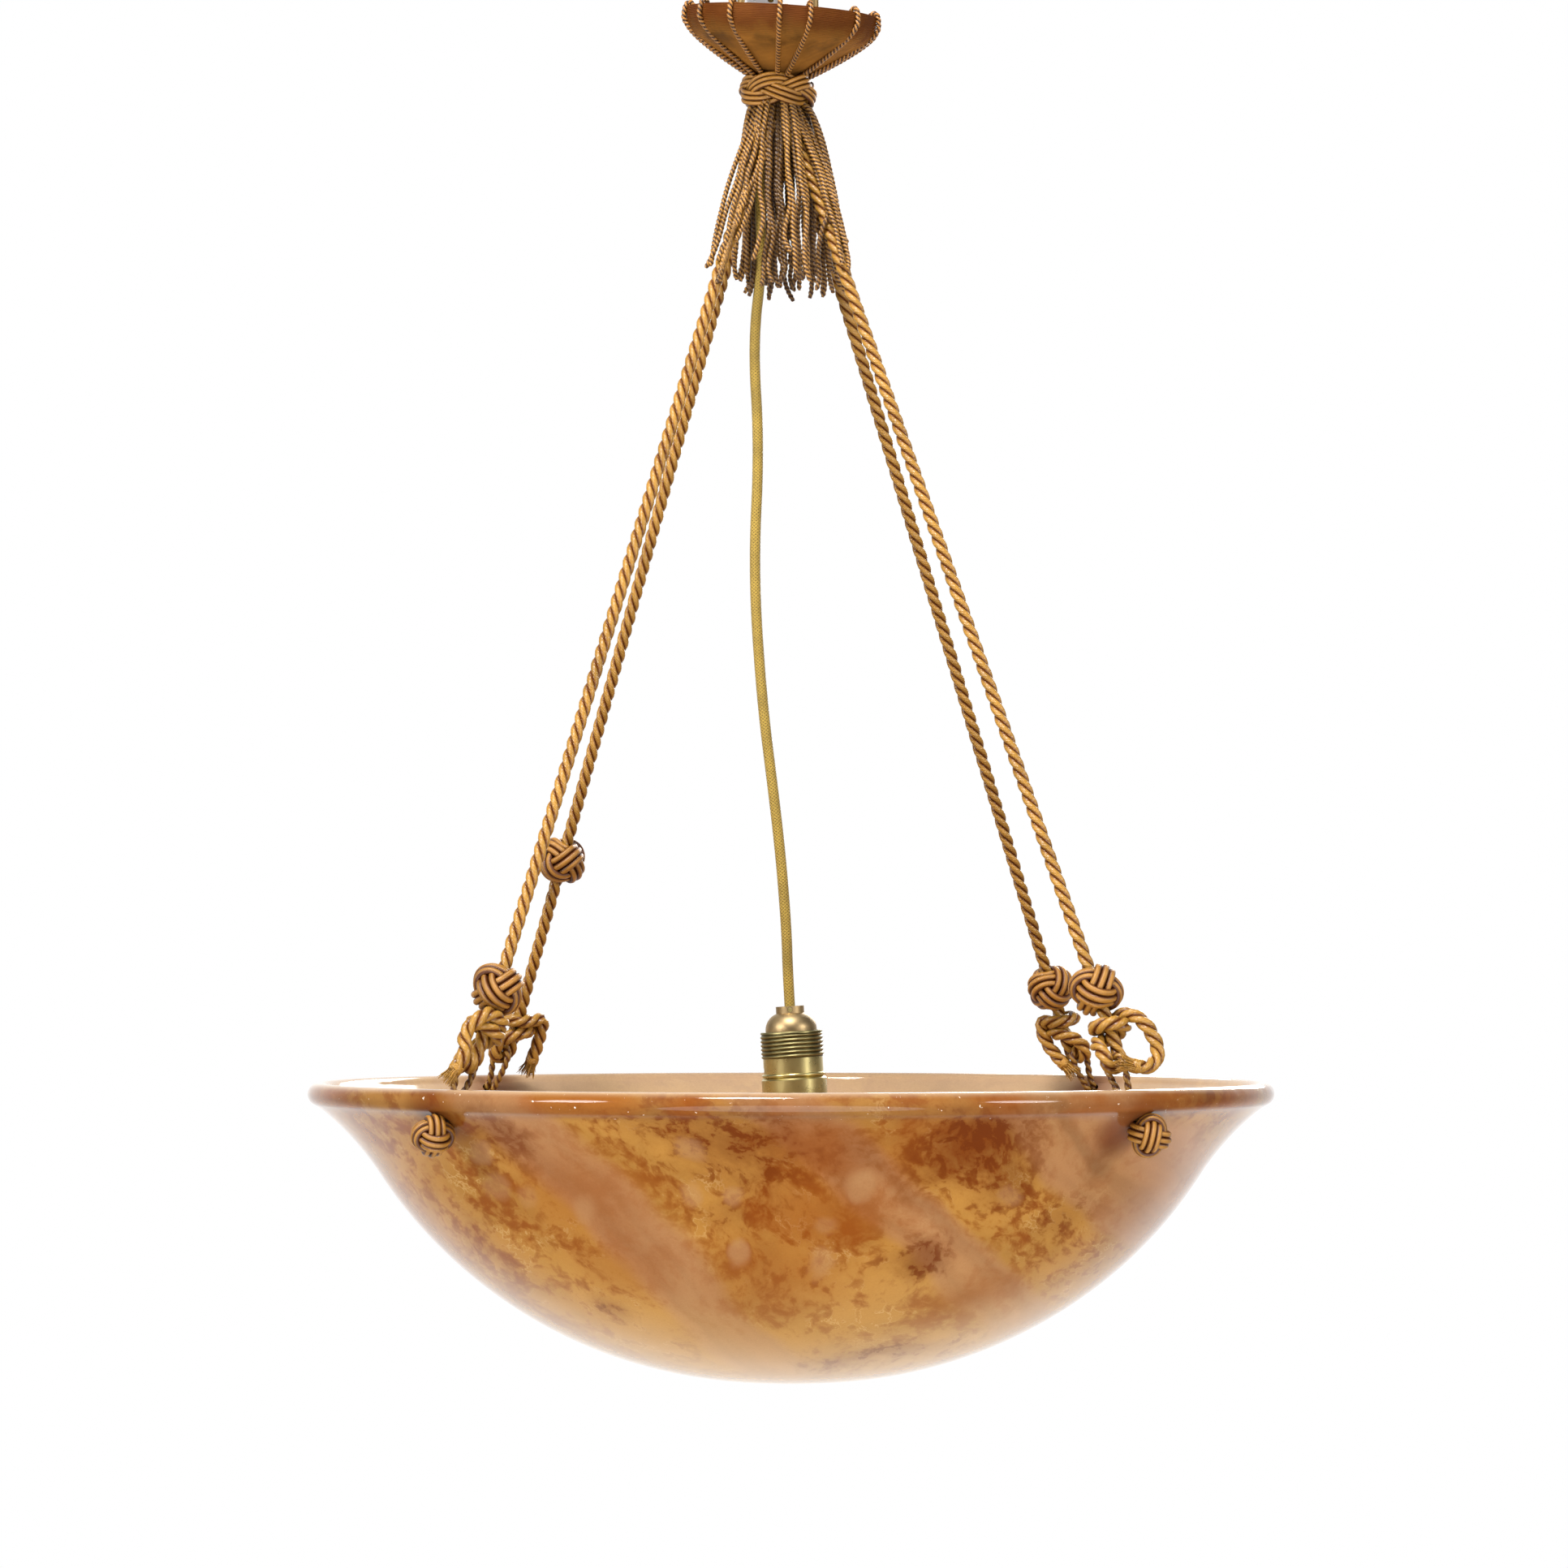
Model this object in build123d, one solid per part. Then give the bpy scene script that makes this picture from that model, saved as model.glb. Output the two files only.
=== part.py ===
from build123d import *
import math
import os

os.makedirs("parts", exist_ok=True)

# Sizes are millimetres and turns are degrees
# Ropes and cords
rope_d = 8.2
flex_d = 6.6
sling_d = 4.4
cord_d = 2.8
core_d = 2.2

# Clearances
touch = 0.2
slip = 0.3
lay_gap = 0.6

# Hanging link
link_wire = 6.0
link_corner = 3.5
link_room = 7.4
link_drop = 22.0

# Canopy
canopy_rim_z = -18.0
canopy_r = 60.5
canopy_height = 39.5
canopy_corner = 13.6
canopy_round = 17.4
canopy_wall = 1.6
cloth = 0.8
hem = 3.0
rim_round = 1.0
rim_ease = 0.4
canopy_lean = 3.5
canopy_nod = 5.0
canopy_cord_angles = [191, 215, 239, 269, 287, 320, 349, 14, 40, 64, 90, 115, 140, 165]

# Collar knot
collar_z = -67.0
collar_r = 24.8
collar_height = 19.0

# Tassel
tassel_top_z = -60.5
tassel_length = 124.0
tassel_rings = 3
tassel_flare = 11.0
tassel_step = 4.5
tassel_hold = 22.0
tassel_middle = 60.0

# Rope bundle inside the canopy
crown_z = -40.0
bend_z = -74.0

# Alabaster bowl
bowl_rim_z = -686.0
bowl_r = 300.0
bowl_depth = 186.5
bowl_wall = 12.0
bowl_shift = 8.0
base_round = 420.0
base_half = 50.0
shoulder_inset = 46.0
shoulder_drop = 57.0
lip_round = 7.0
lip_under = 83.0
hole_drop = 18.5
hole_d = 10.6
hole_turn = 45.0

# Slings, hitches and ball knots
sling_turn = 16.0
sling_rise = 27.0
stopper_r = 13.5
stopper_seat = 2.5
slider_r = 16.6
slider_length = 29.0
raised = 90.0
wrap_start = 9.0

# Hitch of each leg: quarter wraps round the leg, then the tail as (across, out, up) from the foot of the leg
wrap_count = {"front_left": 6, "front_right": 6, "back_left": 5, "back_right": 5}
tails = {
    "front_left": [(2, 19, 23), (-2, 19, 7), (-4, 15, -8)],
    "front_right": [(12, 17, 21), (16, 17, 8), (15, 16, -6), (7, 14, -12), (-1, 12, -9)],
    "back_left": [(21, -10, 22), (19.5, -10, 4), (13, -9.5, -10)],
    "back_right": [(20.5, -11, 22), (19, -10.5, 3), (8, -9, -12)],
}

# Flex: its head above the canopy hole from the terminal block down, then its run as (x, z)
flex_head = [(-10.5, -21.5, -15.0), (-14.0, -9.0, -31.0)]
flex_turn_z = -49.0
flex_points = [
    (-11.6, -130),
    (-9.9, -175),
    (-15.7, -224),
    (-11.6, -290),
    (-15.4, -366),
    (-10.2, -447),
    (-2.5, -508),
    (2.0, -548),
    (5.4, -592),
]

# Terminal block
block_x = 20.0
block_y = 11.0
block_z = 17.0
block_round = 1.5
block_screw_d = 3.4
block_screw_z = 10.5
block_screw_depth = 4.0
screw_slot = 0.7
block_pocket = 4.0

# Lampholder
holder_x = 7.4
holder_z = -639.0
holder_lean = 3.4
neck_r = 8.8
neck_height = 4.4
cap_r = 16.0
cap_drop = 14.6
cap_skirt = 6.0
holder_wall = 1.2
bush_wall = 1.6
bush_flange = 1.4
grip_screw_d = 3.0
sleeve_top = 15.6
sleeve_r = 19.6
lip_height = 1.4
thread_pitch = 2.5
thread_turns = 6
thread_depth = 0.9
band_r = 18.6
band_height = 9.4
bead_r = 19.9
bead_height = 2.2
mantle_r = 20.3
mantle_height = 19.0
mantle_tail = 7.0
slot_length = 6.5
slot_height = 2.6
shell_r = 13.3
shell_wall = 0.6
shell_length = 24.0
insulator_disc = 9.0
insulator_wall = 1.2
contact_r = 4.0
contact_height = 2.4
terminal_d = 4.0
terminal_reach = 9.5
terminal_depth = 5.0
terminal_head = 1.8

rope_r = rope_d / 2
flex_r = flex_d / 2
sling_r = sling_d / 2
cord_r = cord_d / 2

nodes = {}


# Vectors and tubes
def corner_radii(points):
    """Bend radius at each inner corner: 0.45 of the shorter run over the tangent of half the turn."""
    radii = []
    for before, here, after in zip(points, points[1:], points[2:]):
        into = Vector(here) - Vector(before)
        out = Vector(after) - Vector(here)
        half = math.radians(into.get_angle(out)) / 2
        radii.append(0.45 * min(into.length, out.length) / math.tan(half))
    return radii


def tube_path(points):
    """Straight runs joined by tangent arcs through a list of points."""
    return FilletPolyline(*points, radius=corner_radii(points))


def tube(name, points, diameter):
    """Round tube along straight runs and tangent arcs, with its bends and volume printed."""
    path = tube_path(points)
    start = Plane(origin=path @ 0, z_dir=path % 0)
    solid = sweep(start * Circle(diameter / 2), path=path)
    ideal = math.pi * diameter ** 2 / 4 * path.length
    least = min(corner_radii(points))
    ratio = solid.volume / ideal
    print(f"{name}: least bend {least:.1f}, length {path.length:.1f}, volume ratio {ratio:.4f}")
    return solid


def own_gap(points, diameter, stretch):
    """Least free gap of a tube to itself over its last stretch, parts two diameters apart along it."""
    path = tube_path(points)
    count = int(stretch / 1.5)
    places = []
    for i in range(count + 1):
        places.append(path.position_at(1 - stretch / path.length * (1 - i / count)))
    skip = int(2.2 * diameter * count / stretch) + 1
    least = stretch
    for i in range(len(places)):
        for j in range(i + skip, len(places)):
            least = min(least, (places[i] - places[j]).length)
    return least - diameter


def turned(outline):
    """Solid of revolution about Z from a closed outline in radius and height."""
    return revolve(Plane.XZ * make_face(outline), Axis.Z)


def turned_from(points, radii):
    """Solid of revolution from a closed list of radius and height points with rounded corners."""
    return turned(FilletPolyline(*points, radius=radii, close=True))


def box_turned(inner, outer, bottom, top):
    """Plain ring from two radii and two heights."""
    return turned(Polyline((inner, bottom), (outer, bottom), (outer, top), (inner, top), close=True))


# Bundle: four ropes in a square, the flex in the notch on the left
rope_half = rope_r + touch
flex_side = rope_half + math.sqrt((rope_r + flex_r + touch) ** 2 - rope_half ** 2)
bundle_r = flex_side + flex_r

# Hanging link with a straight bar that takes both ropes
link_half = 2 * rope_half + link_room + link_corner + link_wire / 2
bar_round = link_corner + link_wire / 2
link_side = Polyline((link_half, 0, 0), (link_half, 0, bar_round - link_drop))
link_turn = TangentArc(
    (link_half, 0, bar_round - link_drop),
    (link_half - bar_round, 0, -link_drop),
    tangent=(0, 0, -1),
)
link_bar = Line((link_half - bar_round, 0, -link_drop), (bar_round - link_half, 0, -link_drop))
link_back_turn = TangentArc(
    (bar_round - link_half, 0, -link_drop),
    (-link_half, 0, bar_round - link_drop),
    tangent=(-1, 0, 0),
)
link_back_side = Line((-link_half, 0, bar_round - link_drop), (-link_half, 0, 0))
link_top = TangentArc((-link_half, 0, 0), (link_half, 0, 0), tangent=(0, 0, 1))
link_path = Wire([*link_side.edges(), link_turn, link_bar, link_back_turn, link_back_side, link_top])
nodes["hanging_link"] = sweep(
    Plane(origin=(link_half, 0, 0), z_dir=(0, 0, -1)) * Circle(link_wire / 2),
    path=link_path,
)

# Rope crowns over the bar of the link
crown_half = link_wire / 2 + rope_r + touch
crowns = []
for side in (-1, 1):
    crown_x = side * rope_half
    crown_points = [
        (crown_x, -rope_half, crown_z),
        (crown_x, -rope_half, crown_z + rope_d / 2),
        (crown_x, -crown_half, -link_drop - rope_d / 2),
        (crown_x, -crown_half, -link_drop + crown_half),
        (crown_x, crown_half, -link_drop + crown_half),
        (crown_x, crown_half, -link_drop - rope_d / 2),
        (crown_x, rope_half, crown_z + rope_d / 2),
        (crown_x, rope_half, crown_z),
    ]
    crowns.append(tube("rope crown", crown_points, rope_d))
nodes["rope_crowns"] = Compound(children=crowns)

# Canopy: slope of the cone and outlines parallel to the silk
hole_r = bundle_r + slip
slope = math.atan2(canopy_height - canopy_corner, canopy_r - hole_r)


def canopy_drop(radius, inset):
    """Depth of the cone below the rim at a radius, for an outline set inwards by an amount."""
    return canopy_corner + (canopy_r - radius) * math.tan(slope) - inset / math.cos(slope)


def canopy_bend(inset):
    """Corner between the upright rim and the cone."""
    return (canopy_r - inset, -canopy_drop(canopy_r - inset, inset))


cup_out = cloth + touch
cup_in = cup_out + canopy_wall
hem_out = cup_in + touch
hem_in = hem_out + cloth
canopy_place = Pos(0, 0, canopy_rim_z - canopy_height) * Rot(canopy_nod, canopy_lean, 0)
canopy_place = canopy_place * Pos(0, 0, canopy_height)
cup = turned_from(
    [
        (canopy_r - cup_out, 0),
        canopy_bend(cup_out),
        (hole_r, -canopy_drop(hole_r, cup_out)),
        (hole_r, -canopy_drop(hole_r, cup_in)),
        canopy_bend(cup_in),
        (canopy_r - cup_in, 0),
    ],
    [0, canopy_round - cup_out, 0, 0, canopy_round - cup_in, 0],
)
nodes["canopy_cup"] = canopy_place * cup
cover = turned_from(
    [
        (canopy_r, touch + cloth),
        canopy_bend(0),
        (hole_r, -canopy_drop(hole_r, 0)),
        (hole_r, -canopy_drop(hole_r, cloth)),
        canopy_bend(cloth),
        (canopy_r - cloth, touch),
        (canopy_r - hem_out, touch),
        (canopy_r - hem_out, -hem),
        (canopy_r - hem_in, -hem),
        (canopy_r - hem_in, touch + cloth),
    ],
    [rim_round, canopy_round, 0, 0, canopy_round - cloth, 0, 0, 0, 0, rim_round],
)
nodes["canopy_cover"] = canopy_place * cover

# Twisted cords from inside the rim, over it and down to the collar
cord_off = cord_r + touch
cord_end_r = collar_r
canopy_cords = []
for angle in canopy_cord_angles:
    flat = [
        (canopy_r - hem_in - cord_off, -hem),
        (canopy_r - hem_in - cord_off, touch + cloth + cord_off + rim_ease),
        (canopy_r + cord_off, touch + cloth + cord_off + rim_ease),
        canopy_bend(-cord_off),
        (cord_end_r, -canopy_drop(cord_end_r, -cord_off)),
    ]
    turn = math.radians(angle)
    cord_points = []
    for radius, height in flat:
        cord_points.append((radius * math.cos(turn), radius * math.sin(turn), height))
    canopy_cords.append(canopy_place * tube("canopy cord", cord_points, cord_d))
nodes["canopy_cords"] = Compound(children=canopy_cords)

# Tassel strands hang in rings between the ropes, below the canopy hole
tassel_strands = []
sector_angles = [0, 90, 180, 270]
ring_r = rope_half * math.sqrt(2) + rope_r + touch + cord_r
ring_count = 3
for ring in range(tassel_rings):
    blocked = math.degrees(math.asin((rope_r + cord_r + 3 * slip) / ring_r))
    spacing = (90 - 2 * blocked) / (ring_count - 1)
    for sector in sector_angles:
        for i in range(ring_count):
            turn = math.radians(sector - 45 + blocked + i * spacing)
            cx = math.cos(turn)
            cy = math.sin(turn)
            clear = math.hypot(ring_r * cx + flex_side, ring_r * cy)
            if clear < flex_r + cord_r + slip:
                continue
            end_r = ring_r + tassel_flare * (ring + 1) / 2
            mid_r = ring_r + tassel_flare * (ring + 1) / 5
            drop = tassel_length - tassel_step * ((i * 2 + ring + sector // 90) % 4)
            strand = []
            for radius, depth in ((ring_r, 0), (ring_r, tassel_hold), (mid_r, tassel_middle), (end_r, drop)):
                strand.append((radius * cx, radius * cy, tassel_top_z - depth))
            tassel_strands.append(tube("tassel strand", strand, cord_d))
    ring_r = ring_r + cord_d + touch
    ring_count = ring_count + 1
nodes["tassel"] = Compound(children=tassel_strands)
print("tassel strands", len(tassel_strands))

# Collar knot round the tassel heads
collar_in = ring_r - cord_r - touch + slip
collar_half = (collar_r - collar_in) / 2
collar = Pos(collar_in + collar_half, 0) * Ellipse(collar_half, collar_height / 2)
nodes["collar_knot"] = Pos(0, 0, collar_z) * revolve(Plane.XZ * collar, Axis.Z)


# Bowl outline: base arc, side arc, flare arc and round lip, with parallel arcs inside
def arc_on(start, heading, end):
    """Heading at the end of the arc that leaves start along heading and meets end."""
    chord = Vector(*end) - Vector(*start)
    along = chord.normalized()
    head = Vector(*heading)
    return (along * (2 * head.dot(along)) - head).normalized()


base_turn = math.asin(base_half / base_round)
base_end = (base_half, -bowl_depth + base_round * (1 - math.cos(base_turn)))
base_head = (math.cos(base_turn), math.sin(base_turn))
shoulder = (bowl_r - shoulder_inset, -shoulder_drop)
shoulder_head = arc_on(base_end, base_head, shoulder)
under = math.radians(lip_under)
lip_low = (bowl_r - lip_round + lip_round * math.cos(under), -lip_round - lip_round * math.sin(under))
flare_head = arc_on(shoulder, (shoulder_head.X, shoulder_head.Y), lip_low)


def inwards(point, heading):
    """Point moved through the wall, to the left of its heading."""
    return (point[0] - heading.Y * bowl_wall, point[1] + heading.X * bowl_wall)


base_in = inwards(base_end, Vector(*base_head))
shoulder_in = inwards(shoulder, shoulder_head)
lip_in = inwards(lip_low, flare_head)
bowl_lines = [
    TangentArc((0, -bowl_depth), base_end, tangent=(1, 0)),
    TangentArc(base_end, shoulder, tangent=base_head),
    TangentArc(shoulder, lip_low, tangent=(shoulder_head.X, shoulder_head.Y)),
    ThreePointArc(lip_low, (bowl_r, -lip_round), lip_in),
    TangentArc(lip_in, shoulder_in, tangent=(-flare_head.X, -flare_head.Y)),
    TangentArc(shoulder_in, base_in, tangent=(-shoulder_head.X, -shoulder_head.Y)),
    TangentArc(base_in, (0, bowl_wall - bowl_depth), tangent=(-base_head[0], -base_head[1])),
    Line((0, bowl_wall - bowl_depth), (0, -bowl_depth)),
]
bowl_centre = Vector(bowl_shift, 0, bowl_rim_z)
bowl = Pos(bowl_centre) * revolve(Plane.XZ * make_face(bowl_lines), Axis.Z)

# Hole place on the flare: radius and outward heading where the drop is reached
flare_out = Vector(shoulder_head.Y, -shoulder_head.X)
flare_chord = Vector(*lip_low) - Vector(*shoulder)
flare_round = flare_chord.dot(flare_chord) / (2 * flare_chord.dot(flare_out))
flare_centre = Vector(*shoulder) + flare_out * flare_round
hole_rise = -hole_drop - flare_centre.Y
hole_radius = flare_centre.X - math.sqrt(flare_round ** 2 - hole_rise ** 2)
hole_out = (flare_centre - Vector(hole_radius, -hole_drop)).normalized()

# One rope leg with hitch, sling, stopper and slider at each corner
corners = {
    "front_left": (-1, -1, 1),
    "front_right": (1, -1, 1),
    "back_left": (-1, 1, -1),
    "back_right": (1, 1, 1),
}
link_gap = rope_r + sling_r + slip
wrap_r = rope_d + lay_gap
wrap_pitch = rope_d + lay_gap
hitch_top = wrap_start + wrap_pitch * 7 / 4 + rope_r
leg_gap = []
for corner, (sx, sy, hand) in corners.items():
    turn = math.atan2(sy * math.sin(math.radians(hole_turn)), sx * math.cos(math.radians(hole_turn)))
    out = Vector(math.cos(turn), math.sin(turn), 0)
    hole_at = bowl_centre + out * hole_radius + Vector(0, 0, -hole_drop)
    hole_dir = out * hole_out.X + Vector(0, 0, hole_out.Y)
    across = Vector(-out.Y, out.X, 0) * hand
    bend = Vector(sx * rope_half, sy * rope_half, bend_z)
    sling_in = hole_at - hole_dir * sling_turn
    knot = sling_in + (bend - sling_in).normalized() * sling_rise
    stand = knot + across * link_gap
    down = (stand - bend).normalized()
    across = (across - down * across.dot(down)).normalized()
    facing = down.cross(across) * hand

    def place(u, v, a):
        return stand + across * u + facing * v - down * a

    hitch = [
        place(0, 0, -link_gap),
        place(-2 * link_gap, 0, -link_gap),
        place(-2 * link_gap, 0, rope_r),
        place(-wrap_r, -wrap_r, wrap_start),
    ]
    wrap_corners = [(1, -1), (1, 1), (-1, 1), (-1, -1)]
    for i in range(wrap_count[corner]):
        wu, wv = wrap_corners[i % 4]
        hitch.append(place(wu * wrap_r, wv * wrap_r, wrap_start + wrap_pitch * (i + 1) / 4))
    for u, v, a in tails[corner]:
        hitch.append(place(u, v, a))
    leg = [Vector(sx * rope_half, sy * rope_half, crown_z), bend] + hitch
    nodes["rope_" + corner] = tube("rope " + corner, leg, rope_d)
    leg_gap.append(own_gap(leg, rope_d, 28 * rope_d))

    wide = facing
    narrow = Vector(0, 0, 1).cross(across)
    narrow = (narrow - hole_dir * narrow.dot(hole_dir)).normalized()
    if narrow.dot(wide) < 0:
        narrow = narrow * -1
    leg_side = sling_r + touch
    eye = place(-link_gap, 0, -link_gap - rope_r)
    top = place(-link_gap, 0, 0)
    sling = [
        hole_at + narrow * leg_side,
        sling_in + narrow * leg_side,
        eye + wide * link_gap,
        top + wide * link_gap,
        top - wide * link_gap,
        eye - wide * link_gap,
        sling_in - narrow * leg_side,
        hole_at - narrow * leg_side,
    ]
    nodes["sling_" + corner] = tube("sling " + corner, sling, sling_d)

    bowl -= Plane(origin=hole_at, z_dir=hole_dir) * Cylinder(hole_d / 2, 4 * bowl_wall)

    seat_at = Plane(origin=hole_at + hole_dir * touch, x_dir=narrow, z_dir=hole_dir)
    ball = Pos(0, 0, stopper_r - stopper_seat) * Sphere(stopper_r)
    ball &= Pos(0, 0, stopper_r) * Cylinder(2 * stopper_r, 2 * stopper_r)
    nodes["stopper_" + corner] = seat_at * ball

    lift = hitch_top + slip + slider_length / 2
    if corner == "back_left":
        lift = lift + raised
    slider_at = place(0, 0, lift)
    slider = Sphere(slider_r) & Cylinder(2 * slider_r, slider_length)
    slider -= Cylinder(rope_r + slip, 2 * slider_length)
    nodes["slider_" + corner] = Plane(origin=slider_at, x_dir=across, z_dir=down * -1) * slider
    print(corner, "slider", slider_at, "along", down * -1, "run", (stand - bend).length - lift)
nodes["bowl"] = bowl
print("least own gap of a rope leg", min(leg_gap))

# Flex from the terminal block through the bundle to the lampholder neck
flex_top = Vector(*flex_head[0])
flex_axis = (flex_top - Vector(*flex_head[1])).normalized()
lean = math.radians(holder_lean)
holder_down = Vector(math.sin(lean), 0, -math.cos(lean))
holder_top = Vector(holder_x, 0, holder_z)
flex_in = neck_height + bush_flange
flex = [Vector(*point) for point in flex_head]
flex.append(Vector(-flex_side, 0, flex_turn_z))
flex.append(Vector(-flex_side, 0, bend_z - 14))
for x, z in flex_points:
    flex.append(Vector(x, 0, z))
flex.append(holder_top - holder_down * 22)
flex.append(holder_top + holder_down * flex_in)
nodes["flex"] = tube("flex", flex, flex_d)

# Terminal block on the upper end of the flex
block_x_dir = (Vector(1, 0, 0) - flex_axis * flex_axis.X).normalized()
block_place = Plane(origin=flex_top - flex_axis * block_pocket, x_dir=block_x_dir, z_dir=flex_axis)
block = fillet(Box(block_x, block_y, block_z).edges(), block_round)
block = Pos(0, 0, block_z / 2) * block
block -= Cylinder(flex_r + touch, 2 * (block_pocket + touch))
block_screws = []
for side in (-1, 1):
    screw_at = Pos(side * block_x / 4, -block_y / 2, block_screw_z) * Rot(90, 0, 0)
    block -= screw_at * Cylinder(block_screw_d / 2 + touch, 2 * block_screw_depth)
    screw = Cylinder(block_screw_d / 2, block_screw_depth - touch)
    screw -= Pos(0, 0, block_screw_depth / 2) * Box(block_screw_d, screw_slot, 2 * screw_slot)
    block_screws.append(block_place * (screw_at * Pos(0, 0, -block_screw_depth / 2) * screw))
nodes["terminal_block"] = block_place * block
nodes["block_screws"] = Compound(children=block_screws)

# Lampholder, turned about its own leaning axis with the neck top at zero
holder_x_dir = (math.cos(lean), 0, math.sin(lean))
holder_place = Plane(origin=holder_top, x_dir=holder_x_dir, z_dir=holder_down * -1)
bush_r = flex_r + touch + bush_wall
cap_bore = bush_r + touch
cap_head = arc_on((cap_r, -cap_drop), (0, 1), (neck_r, -neck_height))
cap_inner = (neck_r - holder_wall * cap_head.Y, -neck_height + holder_wall * cap_head.X)
cap_foot = -cap_drop - cap_skirt
cap_lines = [
    Polyline((cap_bore, 0), (neck_r, 0), (neck_r, -neck_height)),
    TangentArc((cap_r, -cap_drop), (neck_r, -neck_height), tangent=(0, 1)),
    Polyline(
        (cap_r, -cap_drop),
        (cap_r, cap_foot),
        (cap_r - holder_wall, cap_foot),
        (cap_r - holder_wall, -cap_drop),
    ),
    TangentArc((cap_r - holder_wall, -cap_drop), cap_inner, tangent=(0, 1)),
    Polyline(cap_inner, (cap_bore, cap_inner[1]), (cap_bore, 0)),
]
cap = turned(cap_lines)
grip_at = Pos(0, -neck_r, -neck_height / 2) * Rot(90, 0, 0)
cap -= grip_at * Cylinder(grip_screw_d / 2 + touch / 2, 2 * (neck_r - bush_r))
nodes["holder_cap"] = holder_place * cap
grip_length = neck_r - bush_r - touch
grip = Cylinder(grip_screw_d / 2, grip_length)
grip -= Pos(0, 0, grip_length / 2) * Box(grip_screw_d, screw_slot, screw_slot)
nodes["grip_screw"] = holder_place * (grip_at * Pos(0, 0, -grip_length / 2) * grip)
bush_top = cap_inner[1] - touch
bush = box_turned(flex_r + touch, bush_r, bush_top - bush_flange, 0)
bush += box_turned(flex_r + touch, bush_r + bush_wall, bush_top - bush_flange, bush_top)
nodes["cord_bush"] = holder_place * bush

# Sleeve with a round thread under its top lip
root_r = sleeve_r - thread_depth
sleeve_in = root_r - holder_wall
thread_top = -sleeve_top - lip_height
sleeve_foot = thread_top - thread_turns * thread_pitch
sleeve_lines = [
    Polyline(
        (root_r, thread_top),
        (sleeve_r, thread_top),
        (sleeve_r, -sleeve_top),
        (cap_r + touch, -sleeve_top),
        (cap_r + touch, thread_top),
        (sleeve_in, thread_top),
        (sleeve_in, sleeve_foot),
        (root_r, sleeve_foot),
    ),
]
for i in range(thread_turns):
    crest = thread_top - i * thread_pitch
    sleeve_lines.append(
        ThreePointArc((root_r, crest), (sleeve_r, crest - thread_pitch / 2), (root_r, crest - thread_pitch))
    )
nodes["holder_sleeve"] = holder_place * turned(sleeve_lines)

# Mantle with a tail inside the sleeve, a band, a bead and a wide mouth
tail_r = sleeve_in - touch
mantle_top = sleeve_foot + mantle_tail
band_top = sleeve_foot - touch
band_foot = band_top - band_height
bead_foot = band_foot - bead_height
mouth = bead_foot - mantle_height
mantle_in = tail_r - holder_wall
mantle_lines = [
    Polyline(
        (band_r, bead_foot),
        (mantle_r, bead_foot - (mantle_r - band_r)),
        (mantle_r, mouth),
        (mantle_r - holder_wall, mouth),
        (mantle_r - holder_wall, bead_foot - (mantle_r - band_r)),
        (mantle_in, bead_foot),
        (mantle_in, mantle_top),
        (tail_r, mantle_top),
        (tail_r, band_top),
        (band_r, band_top),
        (band_r, band_foot),
    ),
    ThreePointArc((band_r, band_foot), (bead_r, band_foot - bead_height / 2), (band_r, bead_foot)),
]
mantle = turned(mantle_lines)
slot = Box(4 * holder_wall, slot_length, slot_height)
slot = fillet(slot.edges().filter_by(Axis.X), slot_height / 2 - touch / 4)
mantle -= Pos(-band_r, 0, band_foot + slot_height) * slot
nodes["holder_mantle"] = holder_place * mantle

# Porcelain core, screw shell, centre contact and terminals
core_r = mantle_in - touch
disc_top = mantle_top
disc_foot = disc_top - insulator_disc
shell_out = shell_r + shell_wall
skirt_in = shell_out + touch
insulator = box_turned(0, core_r, disc_foot, disc_top)
insulator += box_turned(skirt_in, skirt_in + insulator_wall, disc_foot - shell_length / 2, disc_foot)
contact_roof = disc_foot + contact_height + touch
insulator -= box_turned(0, contact_r + touch, disc_foot - touch, contact_roof)
terminals = []
for side in (-1, 1):
    terminal_at = Pos(side * terminal_reach, 0, disc_top)
    insulator -= terminal_at * Cylinder(terminal_d / 2 + touch / 2, 2 * terminal_depth)
    screw = Pos(0, 0, -terminal_depth / 2 + touch) * Cylinder(terminal_d / 2, terminal_depth)
    screw += Pos(0, 0, touch + terminal_head / 2) * Cylinder(terminal_d * 0.75, terminal_head)
    screw -= Pos(0, 0, touch + terminal_head) * Box(2 * terminal_d, screw_slot, 2 * screw_slot)
    terminals.append(holder_place * (terminal_at * screw))
nodes["insulator"] = holder_place * insulator
nodes["terminal_screws"] = Compound(children=terminals)
shell_top = disc_foot - touch
nodes["screw_shell"] = holder_place * box_turned(shell_r, shell_out, shell_top - shell_length, shell_top)
contact = box_turned(0, contact_r, disc_foot, contact_roof - touch)
contact = fillet(contact.faces().sort_by(Axis.Z)[0].edges(), contact_height / 2)
nodes["centre_contact"] = holder_place * contact
shell_mid = holder_place.from_local_coords(Vector(0, 0, shell_top - shell_length / 2))
print("lamp mouth", shell_mid, holder_down, shell_r, shell_length)

# Two insulated cores from the flex end to the terminal screws
cores = []
for side in (-1, 1):
    core = [
        (side * core_d * 0.65, 0, -flex_in - touch),
        (side * core_d * 0.65, 0, -flex_in - 2 * core_d),
        (side * terminal_reach, 0, disc_top + terminal_head + 3 * core_d),
        (side * terminal_reach, 0, disc_top + terminal_head + 2 * touch),
    ]
    cores.append(holder_place * tube("core", core, core_d))
nodes["flex_cores"] = Compound(children=cores)

for name, solid in nodes.items():
    solid.label = name
    export_step(solid, f"parts/{name}.step")
print(len(nodes), "nodes")
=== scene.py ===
import math

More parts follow.
